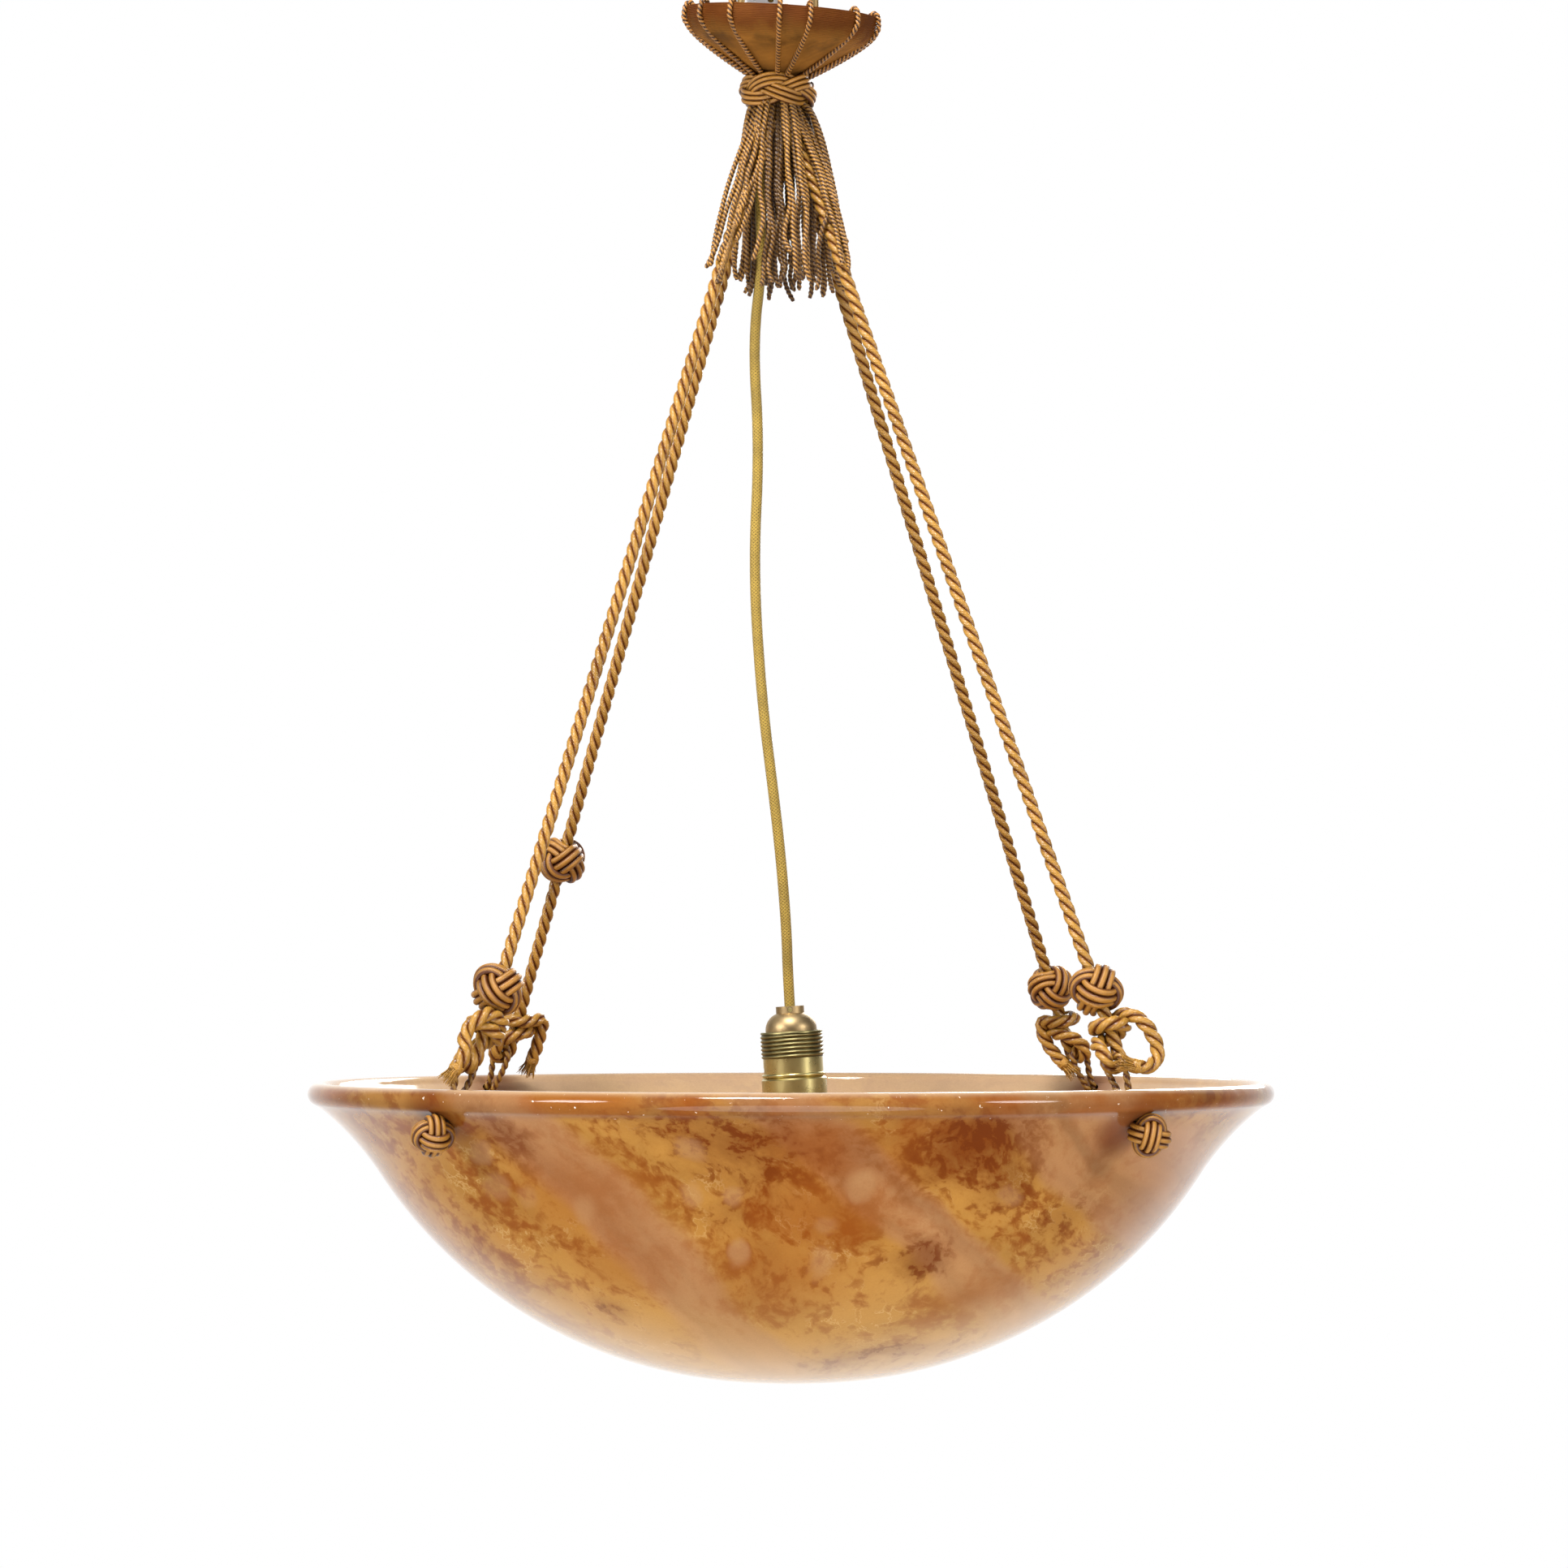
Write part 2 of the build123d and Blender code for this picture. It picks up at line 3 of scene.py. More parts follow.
import bpy
import numpy as np
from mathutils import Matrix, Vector


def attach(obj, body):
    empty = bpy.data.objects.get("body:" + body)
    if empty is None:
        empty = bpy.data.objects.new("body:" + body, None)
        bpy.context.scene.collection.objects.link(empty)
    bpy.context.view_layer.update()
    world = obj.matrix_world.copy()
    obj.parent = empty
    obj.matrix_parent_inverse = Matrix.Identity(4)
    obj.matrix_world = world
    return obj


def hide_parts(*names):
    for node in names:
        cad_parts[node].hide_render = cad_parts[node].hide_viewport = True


bl_info = {
    "name": "Alabaster Bowl Pendant",
    "version": (1, 0, 0),
    "blender": (4, 5, 0),
    "location": "View3D > Sidebar > Pendant",
    "description": "Dresses an alabaster bowl pendant that hangs on laid silk ropes",
    "category": "Object",
}

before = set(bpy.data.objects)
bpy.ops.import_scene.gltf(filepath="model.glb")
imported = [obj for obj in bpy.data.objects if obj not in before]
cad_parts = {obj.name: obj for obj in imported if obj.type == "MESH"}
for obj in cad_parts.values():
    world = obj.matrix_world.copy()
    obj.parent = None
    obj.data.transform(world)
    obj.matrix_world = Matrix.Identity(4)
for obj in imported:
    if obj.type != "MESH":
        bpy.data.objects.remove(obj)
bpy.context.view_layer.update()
MM = 0.001
TURN = 2 * math.pi
BOWL_RADIUS = 0.300
BOWL_DEPTH = 0.1865


def srgb(red, green, blue):
    """Linear colour from the 0 to 255 values of a screen colour."""
    share = np.array([red, green, blue]) / 255
    linear = np.where(share <= 0.04045, share / 12.92, ((share + 0.055) / 1.055) ** 2.4)
    return tuple(linear.tolist())


def length(name, words, metres):
    """Length property in metres."""
    return bpy.props.FloatProperty(
        name=name, description=words, default=metres, min=0.0, precision=4, unit="LENGTH"
    )


def colour(name, words, red, green, blue):
    """Colour property from a screen colour."""
    return bpy.props.FloatVectorProperty(
        name=name, description=words, default=srgb(red, green, blue), subtype="COLOR", min=0.0, max=1.0
    )


class PendantSizes(bpy.types.PropertyGroup):
    """Sizes of the dressed pieces."""

    rope_diameter: length("Rope diameter", "Across the three strands of a hanging rope", 0.0080)
    rope_lay: length("Rope lay", "Length of one full turn of a rope strand", 0.026)
    sling_diameter: length("Sling diameter", "Across the two plies of a bowl sling", 0.0044)
    cord_diameter: length("Cord diameter", "Across the two plies of a tassel or canopy cord", 0.0033)
    cord_lay: length("Cord lay", "Length of one full turn of a cord ply", 0.0058)
    flex_diameter: length("Flex diameter", "Across the cloth-covered flex", 0.0066)
    slider_radius: length("Slider radius", "Outside of a sliding ball knot", 0.0166)
    slider_strand: length("Slider strand", "Diameter of the cord a sliding knot is tied from", 0.0043)
    stopper_radius: length("Stopper radius", "Outside of a stopper ball knot", 0.0135)
    stopper_strand: length("Stopper strand", "Diameter of the cord a stopper knot is tied from", 0.0036)
    collar_radius: length("Collar radius", "Outside of the plaited collar", 0.0248)
    collar_height: length("Collar height", "Height of the plaited collar", 0.0215)
    collar_strand: length("Collar strand", "Diameter of the cord the collar is plaited from", 0.0033)
    bowl_radius: length("Bowl radius", "Outside of the bowl's lip", BOWL_RADIUS)
    bowl_depth: length("Bowl depth", "From the rim down to the base", BOWL_DEPTH)
    bowl_wall: length("Bowl wall", "Thickness of the stone", 0.012)
    tassel_length: length("Tassel length", "From the collar's inside to the lowest strand ends", 0.128)
    tassel_strands: bpy.props.IntProperty(
        name="Tassel strands", description="Number of strands in the tassel", default=66, min=12, max=120
    )


class PendantColours(bpy.types.PropertyGroup):
    """Colours of the finishes."""

    honey: colour("Honey stone", "Ground of the alabaster", 172, 122, 56)
    streak: colour("Streak stone", "Plain slanting streaks of the alabaster", 160, 114, 74)
    amber: colour("Amber stone", "Flecks of the alabaster", 132, 68, 16)
    umber: colour("Umber stone", "Dark patches of the alabaster", 96, 40, 6)
    # The vein colour is also painted light on the bowl's paler base
    vein: colour("Vein stone", "Fine veins and pale base of the alabaster", 204, 166, 108)
    spot: colour("Spot stone", "Pale round spots of the alabaster", 168, 126, 84)
    rope: colour("Rope silk", "Laid hanging ropes", 168, 122, 47)
    knot: colour("Knot silk", "Ball knots and collar", 166, 114, 41)
    cord: colour("Cord silk", "Tassel strands and canopy cords", 166, 118, 49)
    canopy: colour("Canopy silk", "Ribbed silk of the canopy", 138, 90, 35)
    flex: colour("Flex cloth", "Cloth cover of the flex", 158, 129, 48)
    brass: colour("Brass", "Turned brass of the lampholder", 196, 182, 126)
    bronze: colour("Bronzed brass", "Dull brass of the lampholder cap", 172, 148, 108)


def settings(context):
    """Sizes and colours that the pieces are made to."""
    return context.scene.pendant_sizes, context.scene.pendant_colours


# Arrays
def unit(vectors):
    """Vectors of length one."""
    return vectors / np.linalg.norm(vectors, axis=-1, keepdims=True)


def chance(count, seed):
    """Even spread of numbers from 0 to 1 that is the same every run."""
    return np.random.default_rng(seed).random(count)


def sheet_faces(rows, columns, closed_rows=False, closed_columns=True):
    """Quads of a grid numbered row by row, and the grid place of each corner; a closed way joins its ends."""
    i, j = np.meshgrid(
        np.arange(rows if closed_rows else rows - 1),
        np.arange(columns if closed_columns else columns - 1),
        indexing="ij",
    )
    row = np.stack([i, i, i + 1, i + 1], axis=-1).reshape(-1, 4)
    column = np.stack([j, j + 1, j + 1, j], axis=-1).reshape(-1, 4)
    return (row % rows) * columns + column % columns, row, column


def put_mesh(name, points, faces, uv=None, marks=None, crease=None):
    """Mesh object at the origin from points, arrays of faces and a UV pair for every face corner."""
    mesh = bpy.data.meshes.new(name)
    points = np.asarray(points, np.float32).reshape(-1, 3)
    sizes = np.concatenate([np.full(len(group), group.shape[1]) for group in faces])
    corners = np.concatenate([group.ravel() for group in faces]).astype(np.int32)
    mesh.vertices.add(len(points))
    mesh.vertices.foreach_set("co", points.ravel())
    mesh.loops.add(len(corners))
    mesh.loops.foreach_set("vertex_index", corners)
    mesh.polygons.add(len(sizes))
    mesh.polygons.foreach_set("loop_start", (np.cumsum(sizes) - sizes).astype(np.int32))
    mesh.update(calc_edges=True)
    mesh.polygons.foreach_set("use_smooth", np.ones(len(sizes), bool))
    if uv is not None:
        layer = mesh.uv_layers.new(name="UVMap")
        flat = np.concatenate([part.reshape(-1, 2) for part in uv])
        layer.data.foreach_set("uv", flat.astype(np.float32).ravel())
    for mark, values in (marks or {}).items():
        layer = mesh.attributes.new(mark, "FLOAT", "POINT")
        layer.data.foreach_set("value", np.asarray(values, np.float32).ravel())
    if crease is not None:
        mesh.set_sharp_from_angle(angle=math.radians(crease))
    mesh.validate()
    piece = bpy.data.objects.new(name, mesh)
    bpy.context.scene.collection.objects.link(piece)
    return piece


def dress(piece, body, slot, finish, *nodes):
    """Give a piece its finish, let it ride on a body and stand for solid nodes."""
    piece.data.materials.append(finish)
    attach(piece, body)
    if nodes:
        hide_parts(*nodes)
    return piece


# Tubes and laid cords
def route_line(route, step):
    """Even points along the NURBS spline whose control points are the route."""
    curve = bpy.data.curves.new("route", "CURVE")
    curve.dimensions = "3D"
    curve.resolution_u = 32
    spline = curve.splines.new("NURBS")
    spline.points.add(len(route) - 1)
    spline.points.foreach_set("co", np.c_[np.asarray(route), np.ones(len(route))].ravel())
    spline.order_u = 3
    spline.use_endpoint_u = True
    holder = bpy.data.objects.new("route", curve)
    mesh = bpy.data.meshes.new_from_object(holder)
    fine = np.empty(len(mesh.vertices) * 3)
    mesh.vertices.foreach_get("co", fine)
    fine = fine.reshape(-1, 3)
    bpy.data.meshes.remove(mesh)
    bpy.data.objects.remove(holder)
    bpy.data.curves.remove(curve)
    return even(fine, step)


def along(line):
    """Length run from the start to each point of a line, or of several lines at once."""
    steps = np.linalg.norm(np.diff(line, axis=-2), axis=-1)
    return np.concatenate([np.zeros_like(steps[..., :1]), np.cumsum(steps, axis=-1)], axis=-1)


def even(line, step):
    """Points a step apart along a line."""
    run = along(line)
    places = np.linspace(0, run[-1], max(3, round(run[-1] / step) + 1))
    return np.stack([np.interp(places, run, line[:, axis]) for axis in range(3)], axis=-1)


def heading(line):
    """Direction of a line at each point."""
    return unit(np.gradient(line, axis=-2))


def carried(line):
    """Two side directions carried along a line without turning about it, one path point after the other."""
    ahead = heading(line)
    side = np.cross(ahead[0], [0.3, 0.2, 0.93])
    sides = np.empty_like(ahead)
    for place, forward in enumerate(ahead):
        side = side - forward * (side @ forward)
        side = side / math.sqrt(side @ side)
        sides[place] = side
    return sides, np.cross(ahead, sides)


def plies(line, side, other, count, offset, lay):
    """Centre lines of strands laid round a line: line + offset (cos p side + sin p other), with p one left-hand
    turn for each lay of length plus an even share of a turn for each strand; and their outward directions."""
    turn = TURN * np.arange(count)[:, None] / count - TURN * along(line) / lay
    out = np.cos(turn)[..., None] * side + np.sin(turn)[..., None] * other
    return line + offset * out, out


def tubes(lines, out, radius, around, closed=False):
    """Round tubes along lines: centre + radius (cos a outward + sin a sideways), a running once round; their
    quads, end caps and UV, which is length along the tube and share of a turn from the outside."""
    lines = lines.reshape(-1, *lines.shape[-2:])
    out = out.reshape(lines.shape)
    count, steps = lines.shape[:2]
    if closed:
        ahead = unit(np.roll(lines, -1, axis=1) - np.roll(lines, 1, axis=1))
    else:
        ahead = heading(lines)
    out = unit(out - ahead * np.sum(out * ahead, axis=-1, keepdims=True))
    aside = np.cross(ahead, out)
    radius = np.broadcast_to(radius, (count, steps))[..., None, None]
    angle = TURN * (np.arange(around) / around)
    ring = np.cos(angle)[:, None] * out[:, :, None, :] + np.sin(angle)[:, None] * aside[:, :, None, :]
    points = lines[:, :, None, :] + radius * ring
    share = np.arange(around + 1) / around
    return skin(points, along(lines), share, closed)


def skin(points, run, share, closed=False):
    """Rows of rings, the quads and end caps between them and UV from the run along and the share round."""
    count, steps, around = points.shape[:3]
    quads, row, column = sheet_faces(steps, around, closed_rows=closed)
    first = np.arange(count)[:, None, None] * steps * around
    faces = [(quads + first).reshape(-1, 4)]
    if closed:
        run = np.concatenate([run, run[:, -1:] + (run[:, -1:] - run[:, -2:-1])], axis=1)
    share = share[column]
    share = np.where(share.max(axis=-1, keepdims=True) > 0.5, share - 1, share)
    uv = [np.stack([run[:, row], np.broadcast_to(share, (count, *share.shape))], axis=-1)]
    if not closed:
        ends = np.stack([np.arange(around)[::-1], (steps - 1) * around + np.arange(around)])
        faces.append((ends + first).reshape(-1, around))
        uv.append(np.full((2 * count, around, 2), 0.2))
    return points, faces, uv


def joined(groups):
    """Several groups of points, faces and UV as one."""
    first = np.cumsum([0] + [group[0].size // 3 for group in groups])
    points = np.concatenate([group[0].reshape(-1, 3) for group in groups])
    faces = [face + start for group, start in zip(groups, first) for face in group[1]]
    return points, faces, [part for group in groups for part in group[2]]


def twisted(lines, aside, other, radius, lay, start, around=12, deep=0.38):
    """Two-ply cords as single skins: distance from the line = radius (1 - deep (1 - |cos a|)), with a measured
    from a ply that makes one left-hand turn for each lay of length; UV is length along and share from a crest."""
    angle = TURN * np.arange(around) / around
    turn = (np.asarray(start)[..., None] - TURN * along(lines) / lay)[..., None] + angle
    ring = np.cos(turn)[..., None] * aside[:, :, None, :] + np.sin(turn)[..., None] * other[:, :, None, :]
    wide = np.broadcast_to(radius, lines.shape[:2])[..., None] * (1 - deep * (1 - np.abs(np.cos(angle))))
    share = np.abs((np.arange(around + 1) / around * 2 + 0.5) % 1 - 0.5)
    return skin(lines[:, :, None, :] + wide[..., None] * ring, along(lines), share * 0.98)


def lathe(name, outline, turns, place, closed=True, radius=None, marks=None, crease=30):
    """Outline of radius and height pairs turned about an axis: (r cos a, r sin a, z), moved by place; closed
    outlines come back to their start, and radius(r, a, z) may change r round the axis."""
    angle = TURN * np.arange(turns) / turns
    r, z = np.asarray(outline, float).T
    wide = np.broadcast_to(r[:, None], (len(r), turns)).copy()
    tall = np.broadcast_to(z[:, None], (len(r), turns)).copy()
    if radius is not None:
        wide, tall = radius(wide, angle[None, :], tall)
    points = np.stack([wide * np.cos(angle), wide * np.sin(angle), tall], axis=-1)
    quads, row, column = sheet_faces(len(r), turns, closed_rows=closed)
    run = np.concatenate([[0], np.cumsum(np.hypot(np.diff(r), np.diff(z)))])
    run = np.append(run, run[-1])
    uv = np.stack([column / turns, run[row]], axis=-1)
    if np.sum(r * np.roll(z, -1) - np.roll(r, -1) * z) < 0:
        quads, uv = quads[:, ::-1], uv[:, ::-1]
    return put_mesh(name, place(points), [quads], [uv], marks and marks(wide, tall), crease)


def bent(start, ahead, end, count):
    """Points of the arc that leaves start along a heading and meets end, without its first point."""
    start, ahead, end = (np.asarray(v, float) for v in (start, ahead, end))
    left = np.array([-ahead[1], ahead[0]])
    chord = end - start
    turn = 2 * math.atan2(chord @ left, chord @ ahead)
    radius = (chord @ chord) / (2 * (chord @ left))
    step = turn * np.arange(1, count + 1)[:, None] / count
    line = start + radius * (np.sin(step) * ahead + (1 - np.cos(step)) * left)
    return line, np.cos(step) * ahead + np.sin(step) * left


# Places shared with the solid part, in metres
ROPE_RADIUS = 4.1 * MM
ROPE_HALF = 4.3 * MM
CROWN_HALF = 7.3 * MM
LINK_DROP = 22.0 * MM
CROWN_Z = -35.9 * MM
BEND_Z = -74.0 * MM
BOWL_CENTRE = np.array([8.0, 0.0, -686.0]) * MM
SHOULDER = np.array([254.0, -57.0]) * MM
BASE_HALF = 50.0 * MM
BASE_ROUND = 420.0 * MM
LIP_ROUND = 7.0 * MM
LIP_UNDER = math.radians(83)
HOLE_DROP = 18.5 * MM
HOLE_RADIUS = 5.3 * MM
SLING_TURN = 16.0 * MM
SLING_RISE = 27.0 * MM
SLING_SIDE = 2.4 * MM
STOPPER_SEAT = 2.5 * MM
SLING_TUCK = 2.5 * MM
LINK_GAP = 6.6 * MM
WRAP = 8.2 * MM
WRAP_START = 13.0 * MM
COLLAR_Z = -67.0 * MM
TASSEL_TOP = -68.0 * MM
POLE = 1e-5
FLARE_STEPS = 34
CANOPY_RADIUS = 60.5 * MM
CANOPY_HEIGHT = 39.5 * MM
CANOPY_CORNER = 13.6 * MM
CANOPY_ROUND = 17.4 * MM
CANOPY_HOLE = 14.17 * MM
CANOPY_RIM_Z = -18.0 * MM
CANOPY_SLOPE = math.atan2(CANOPY_HEIGHT - CANOPY_CORNER, CANOPY_RADIUS - CANOPY_HOLE)
CANOPY_NOD = math.radians(5.0)
CANOPY_LEAN = math.radians(3.5)
CLOTH = 0.8 * MM
CORD_LIFT = 1.6 * MM
CORD_FOOT = 15.0 * MM
HOLDER_LEAN = math.radians(3.4)
HOLDER_PLACE = np.array([7.4, 0, -639.0]) * MM
# Sign along X and Y and the hand of the hitch at each corner
CORNERS = {
    "front_left": (-1, -1, 1), "front_right": (1, -1, 1), "back_left": (-1, 1, -1), "back_right": (1, 1, 1),
}
# Wrapped sides of each hitch, and its tail as (across, out, up) in millimetres from the foot of the leg
TAILS = {
    "front_left": (6, [(9, 14, 19), (3, 16, 11), (4, 16, 3), (8, 14.5, -5), (2, 15, -15)]),
    "front_right": (
        6, [(11, 17, 16), (14.5, 17.5, 6), (15.5, 17, -4), (9, 15.5, -12), (-1, 14, -13), (-7, 12, -10)],
    ),
    "back_left": (5, [(13, -10, 24), (13.5, -10, 12), (14, -9.5, 2), (13, -9, -8)]),
    "back_right": (5, [(9, -11, 20), (8, -11.5, 10), (4, -11, 0), (-2, -9.5, -9)]),
}
SLIDER_UP = {**dict.fromkeys(CORNERS, 43.3 * MM), "back_left": 133.3 * MM}
CANOPY_CORDS = [191, 215, 239, 269, 287, 320, 349, 14, 40, 64, 90, 115, 140, 165]
FLEX_ROUTE = [
    (-10.5, -21.5, -15.0), (-14.0, -9.0, -31.0), (-10.57, 0, -49), (-10.57, 0, -88), (-11.6, 0, -130),
    (-9.9, 0, -175), (-15.7, 0, -224), (-11.6, 0, -290), (-15.4, 0, -366), (-10.2, 0, -447), (-2.5, 0, -508),
    (2.0, 0, -548), (5.4, 0, -592), (6.095, 0, -617.04), (7.744, 0, -644.79),
]


def bowl_outline(radius, depth):
    """Half outline of the bowl and the headings along it: base, side and flare arcs outside."""
    turn = math.asin(BASE_HALF / BASE_ROUND)
    base = np.array([BASE_HALF, -depth + BASE_ROUND * (1 - math.cos(turn))])
    low, low_head = bent((0, -depth), (1, 0), base, 8)
    side, side_head = bent(base, low_head[-1], SHOULDER, 70)
    lip_in = LIP_ROUND * (1 - math.cos(LIP_UNDER))
    lip_low = np.array([radius - lip_in, -LIP_ROUND * (1 + math.sin(LIP_UNDER))])
    flare, flare_head = bent(SHOULDER, side_head[-1], lip_low, FLARE_STEPS)
    line = np.concatenate([[(POLE, -depth)], low, side, flare])
    heads = np.concatenate([[(1, 0)], low_head, side_head, flare_head])
    return line, heads


def hole_place():
    """Radius of the bowl's holes and their outward heading, where the flare has dropped by the hole drop."""
    line, heads = bowl_outline(BOWL_RADIUS, BOWL_DEPTH)
    flare = slice(-FLARE_STEPS - 1, None)
    radius = np.interp(-HOLE_DROP, line[flare, 1], line[flare, 0])
    out = np.stack([np.interp(-HOLE_DROP, line[flare, 1], heads[flare, axis]) for axis in (1, 0)])
    return radius, unit(np.array([out[0], -out[1]]))


HOLE_AT, HOLE_OUT = hole_place()


def corner_axes(corner):
    """Hole, its heading, the foot of the rope leg and the leg's own axes at one corner of the bowl."""
    sx, sy, hand = CORNERS[corner]
    out = unit(np.array([sx, sy, 0.0]))
    hole = BOWL_CENTRE + out * HOLE_AT - np.array([0, 0, HOLE_DROP])
    through = out * HOLE_OUT[0] + np.array([0, 0, HOLE_OUT[1]])
    across = np.array([-out[1], out[0], 0]) * hand
    bend = np.array([sx * ROPE_HALF, sy * ROPE_HALF, BEND_Z])
    inside = hole - through * SLING_TURN
    foot = inside + unit(bend - inside) * SLING_RISE + across * LINK_GAP
    down = unit(foot - bend)
    across = unit(across - down * (across @ down))
    facing = np.cross(down, across) * hand
    return hole, through, bend, foot, across, facing, -down


def from_foot(corner, places):
    """Points given as (across, out, up) from the foot of a rope leg."""
    foot, across, facing, up = corner_axes(corner)[3:]
    return foot + np.asarray(places, float) @ np.stack([across, facing, up])


def leg_route(corner):
    """Control points of a rope leg from under the link, down to its bowl sling and round its own hitch."""
    bend, foot, up = corner_axes(corner)[2], corner_axes(corner)[3], corner_axes(corner)[6]
    sides, tail = TAILS[corner]
    turns = np.array([(1, -1), (1, 1), (-1, 1), (-1, -1)])[np.arange(sides) % 4]
    rise = WRAP_START + WRAP * np.arange(1, sides + 1) / 4
    hitch = [(0, 0, LINK_GAP), (0, 0, -LINK_GAP), (-2 * LINK_GAP, 0, -LINK_GAP)]
    hitch += [(-2 * LINK_GAP, 0, ROPE_RADIUS), (-WRAP, -WRAP, WRAP_START)]
    hitch = np.concatenate([hitch, np.c_[turns * WRAP, rise], np.array(tail) * MM])
    near_bend = bend - up * (CROWN_Z - BEND_Z)
    return np.concatenate([[bend, near_bend], from_foot(corner, hitch)])


def rope_route(front, back):
    """Control points of a whole rope: one tail, up its leg, over the link's bar and down to the other tail."""
    x = CORNERS[front][0] * ROPE_HALF
    top = CROWN_HALF - LINK_DROP
    low = -LINK_DROP - ROPE_RADIUS
    crown = [
        (x, -ROPE_HALF, CROWN_Z), (x, -CROWN_HALF, low), (x, -CROWN_HALF, top),
        (x, CROWN_HALF, top), (x, CROWN_HALF, low), (x, ROPE_HALF, CROWN_Z),
    ]
    return np.concatenate([leg_route(front)[::-1], crown, leg_route(back)])


# Finishes
def add_node(tree, kind, inputs, **settings):
    """Shader node of a kind, with joins or plain values on its sockets."""
    node = tree.nodes.new("ShaderNode" + kind)
    for setting, value in settings.items():
        setattr(node, setting, value)
    for socket, value in inputs.items():
        if isinstance(value, bpy.types.NodeSocket):
            tree.links.new(value, node.inputs[socket])
        else:
            node.inputs[socket].default_value = value
    return node


class Finish:
    """Material with one Principled surface, and short calls that add nodes to its tree."""

    def __init__(self, name, constants):
        self.material = bpy.data.materials.new(name)
        self.material.use_nodes = True
        self.tree = self.material.node_tree
        self.tree.nodes.clear()
        self.surface = self.add("BsdfPrincipled", constants)
        self.add("OutputMaterial", {"Surface": self.surface.outputs["BSDF"]})
        coords = self.add("TexCoord", {}).outputs
        self.place, self.uv = coords["Object"], coords["UV"]

    def add(self, kind, inputs, **settings):
        """Node of a kind in this material."""
        return add_node(self.tree, kind, inputs, **settings)

    def math(self, kind, *values):
        """One sum of numbers."""
        return self.add("Math", dict(enumerate(values)), operation=kind).outputs[0]

    def times(self, first, second):
        """Product of two numbers."""
        return self.math("MULTIPLY", first, second)

    def scaled(self, value, factor, shift):
        """A number times a factor, and shifted."""
        return self.math("MULTIPLY_ADD", value, factor, shift)

    def vector(self, kind, *values):
        """One sum of vectors; a number for lengths and distances."""
        out = "Value" if kind in ("LENGTH", "DISTANCE") else "Vector"
        return self.add("VectorMath", dict(enumerate(values)), operation=kind).outputs[out]

    def point(self, x, y, z):
        """Vector of three numbers."""
        return self.add("CombineXYZ", {0: x, 1: y, 2: z}).outputs[0]

    def parts(self, vector):
        """The three numbers of a vector."""
        return self.add("SeparateXYZ", {0: vector}).outputs

    def noise(self, scale, detail=3.0, rough=0.5, vector=None, twist=0.0, out=0):
        """Cloudy pattern from 0 to 1, or three of them as a colour."""
        inputs = {"Vector": vector or self.place, "Scale": scale, "Detail": detail, "Roughness": rough}
        inputs["Distortion"] = twist
        return self.add("TexNoise", inputs).outputs[out]

    def step(self, value, low, high):
        """Smooth rise from 0 at low to 1 at high, or a fall where low is the larger."""
        inputs = {"Value": value, "From Min": low, "From Max": high}
        return self.add("MapRange", inputs, interpolation_type="SMOOTHSTEP").outputs[0]

    def wave(self, value, pitch):
        """Sine from 0 to 1 with a pitch."""
        return self.scaled(self.math("SINE", self.times(value, TURN / pitch)), 0.5, 0.5)

    def mix(self, share, first, second, strength=1.0):
        """Two colours mixed by a share, times a strength."""
        if strength != 1.0:
            share = self.times(share, strength)
        pair = [tint if isinstance(tint, bpy.types.NodeSocket) else (*tint[:3], 1) for tint in (first, second)]
        return self.add("Mix", {0: share, 6: pair[0], 7: pair[1]}, data_type="RGBA").outputs[2]

    def ramp(self, value, places, colours, ease="LINEAR"):
        """Colour read from a row of places, each with its colour."""
        node = self.add("ValToRGB", {0: value})
        node.color_ramp.interpolation = ease
        elements = node.color_ramp.elements
        while len(elements) < len(places):
            elements.new(0.5)
        for element, at, tint in zip(elements, places, colours):
            element.position = at
            element.color = (*tint[:3], 1)
        return node.outputs[0]

    def show(self, socket, value):
        """Join a result to the surface."""
        self.tree.links.new(value, self.surface.inputs[socket])

    def relief(self, height, depth, strength):
        """Bump of a depth in metres."""
        inputs = {"Height": height, "Distance": depth, "Strength": strength}
        self.show("Normal", self.add("Bump", inputs).outputs[0])


def tones(tint, *shares):
    """A colour made lighter or darker by several shares."""
    return [tuple(min(1.0, part * share) for part in tint) for share in shares]


def tone(tint, share):
    """A colour made lighter or darker by one share."""
    return tones(tint, share)[0]


# Slanting bands of the stone: distance across the slant and share of flecks there
DIAGONAL = 0.7071
BAND_START = -0.742
BAND_SPAN = 0.44
BANDS = [
    (-0.740, 0.15), (-0.700, 0.30), (-0.668, 0.95), (-0.634, 0.90), (-0.615, 0.10), (-0.593, 0.12), (-0.574, 0.85),
    (-0.545, 1.00), (-0.514, 0.95), (-0.498, 0.20), (-0.474, 0.15), (-0.456, 0.95), (-0.420, 0.95), (-0.400, 0.20),
    (-0.340, 0.15), (-0.305, 0.80),
]
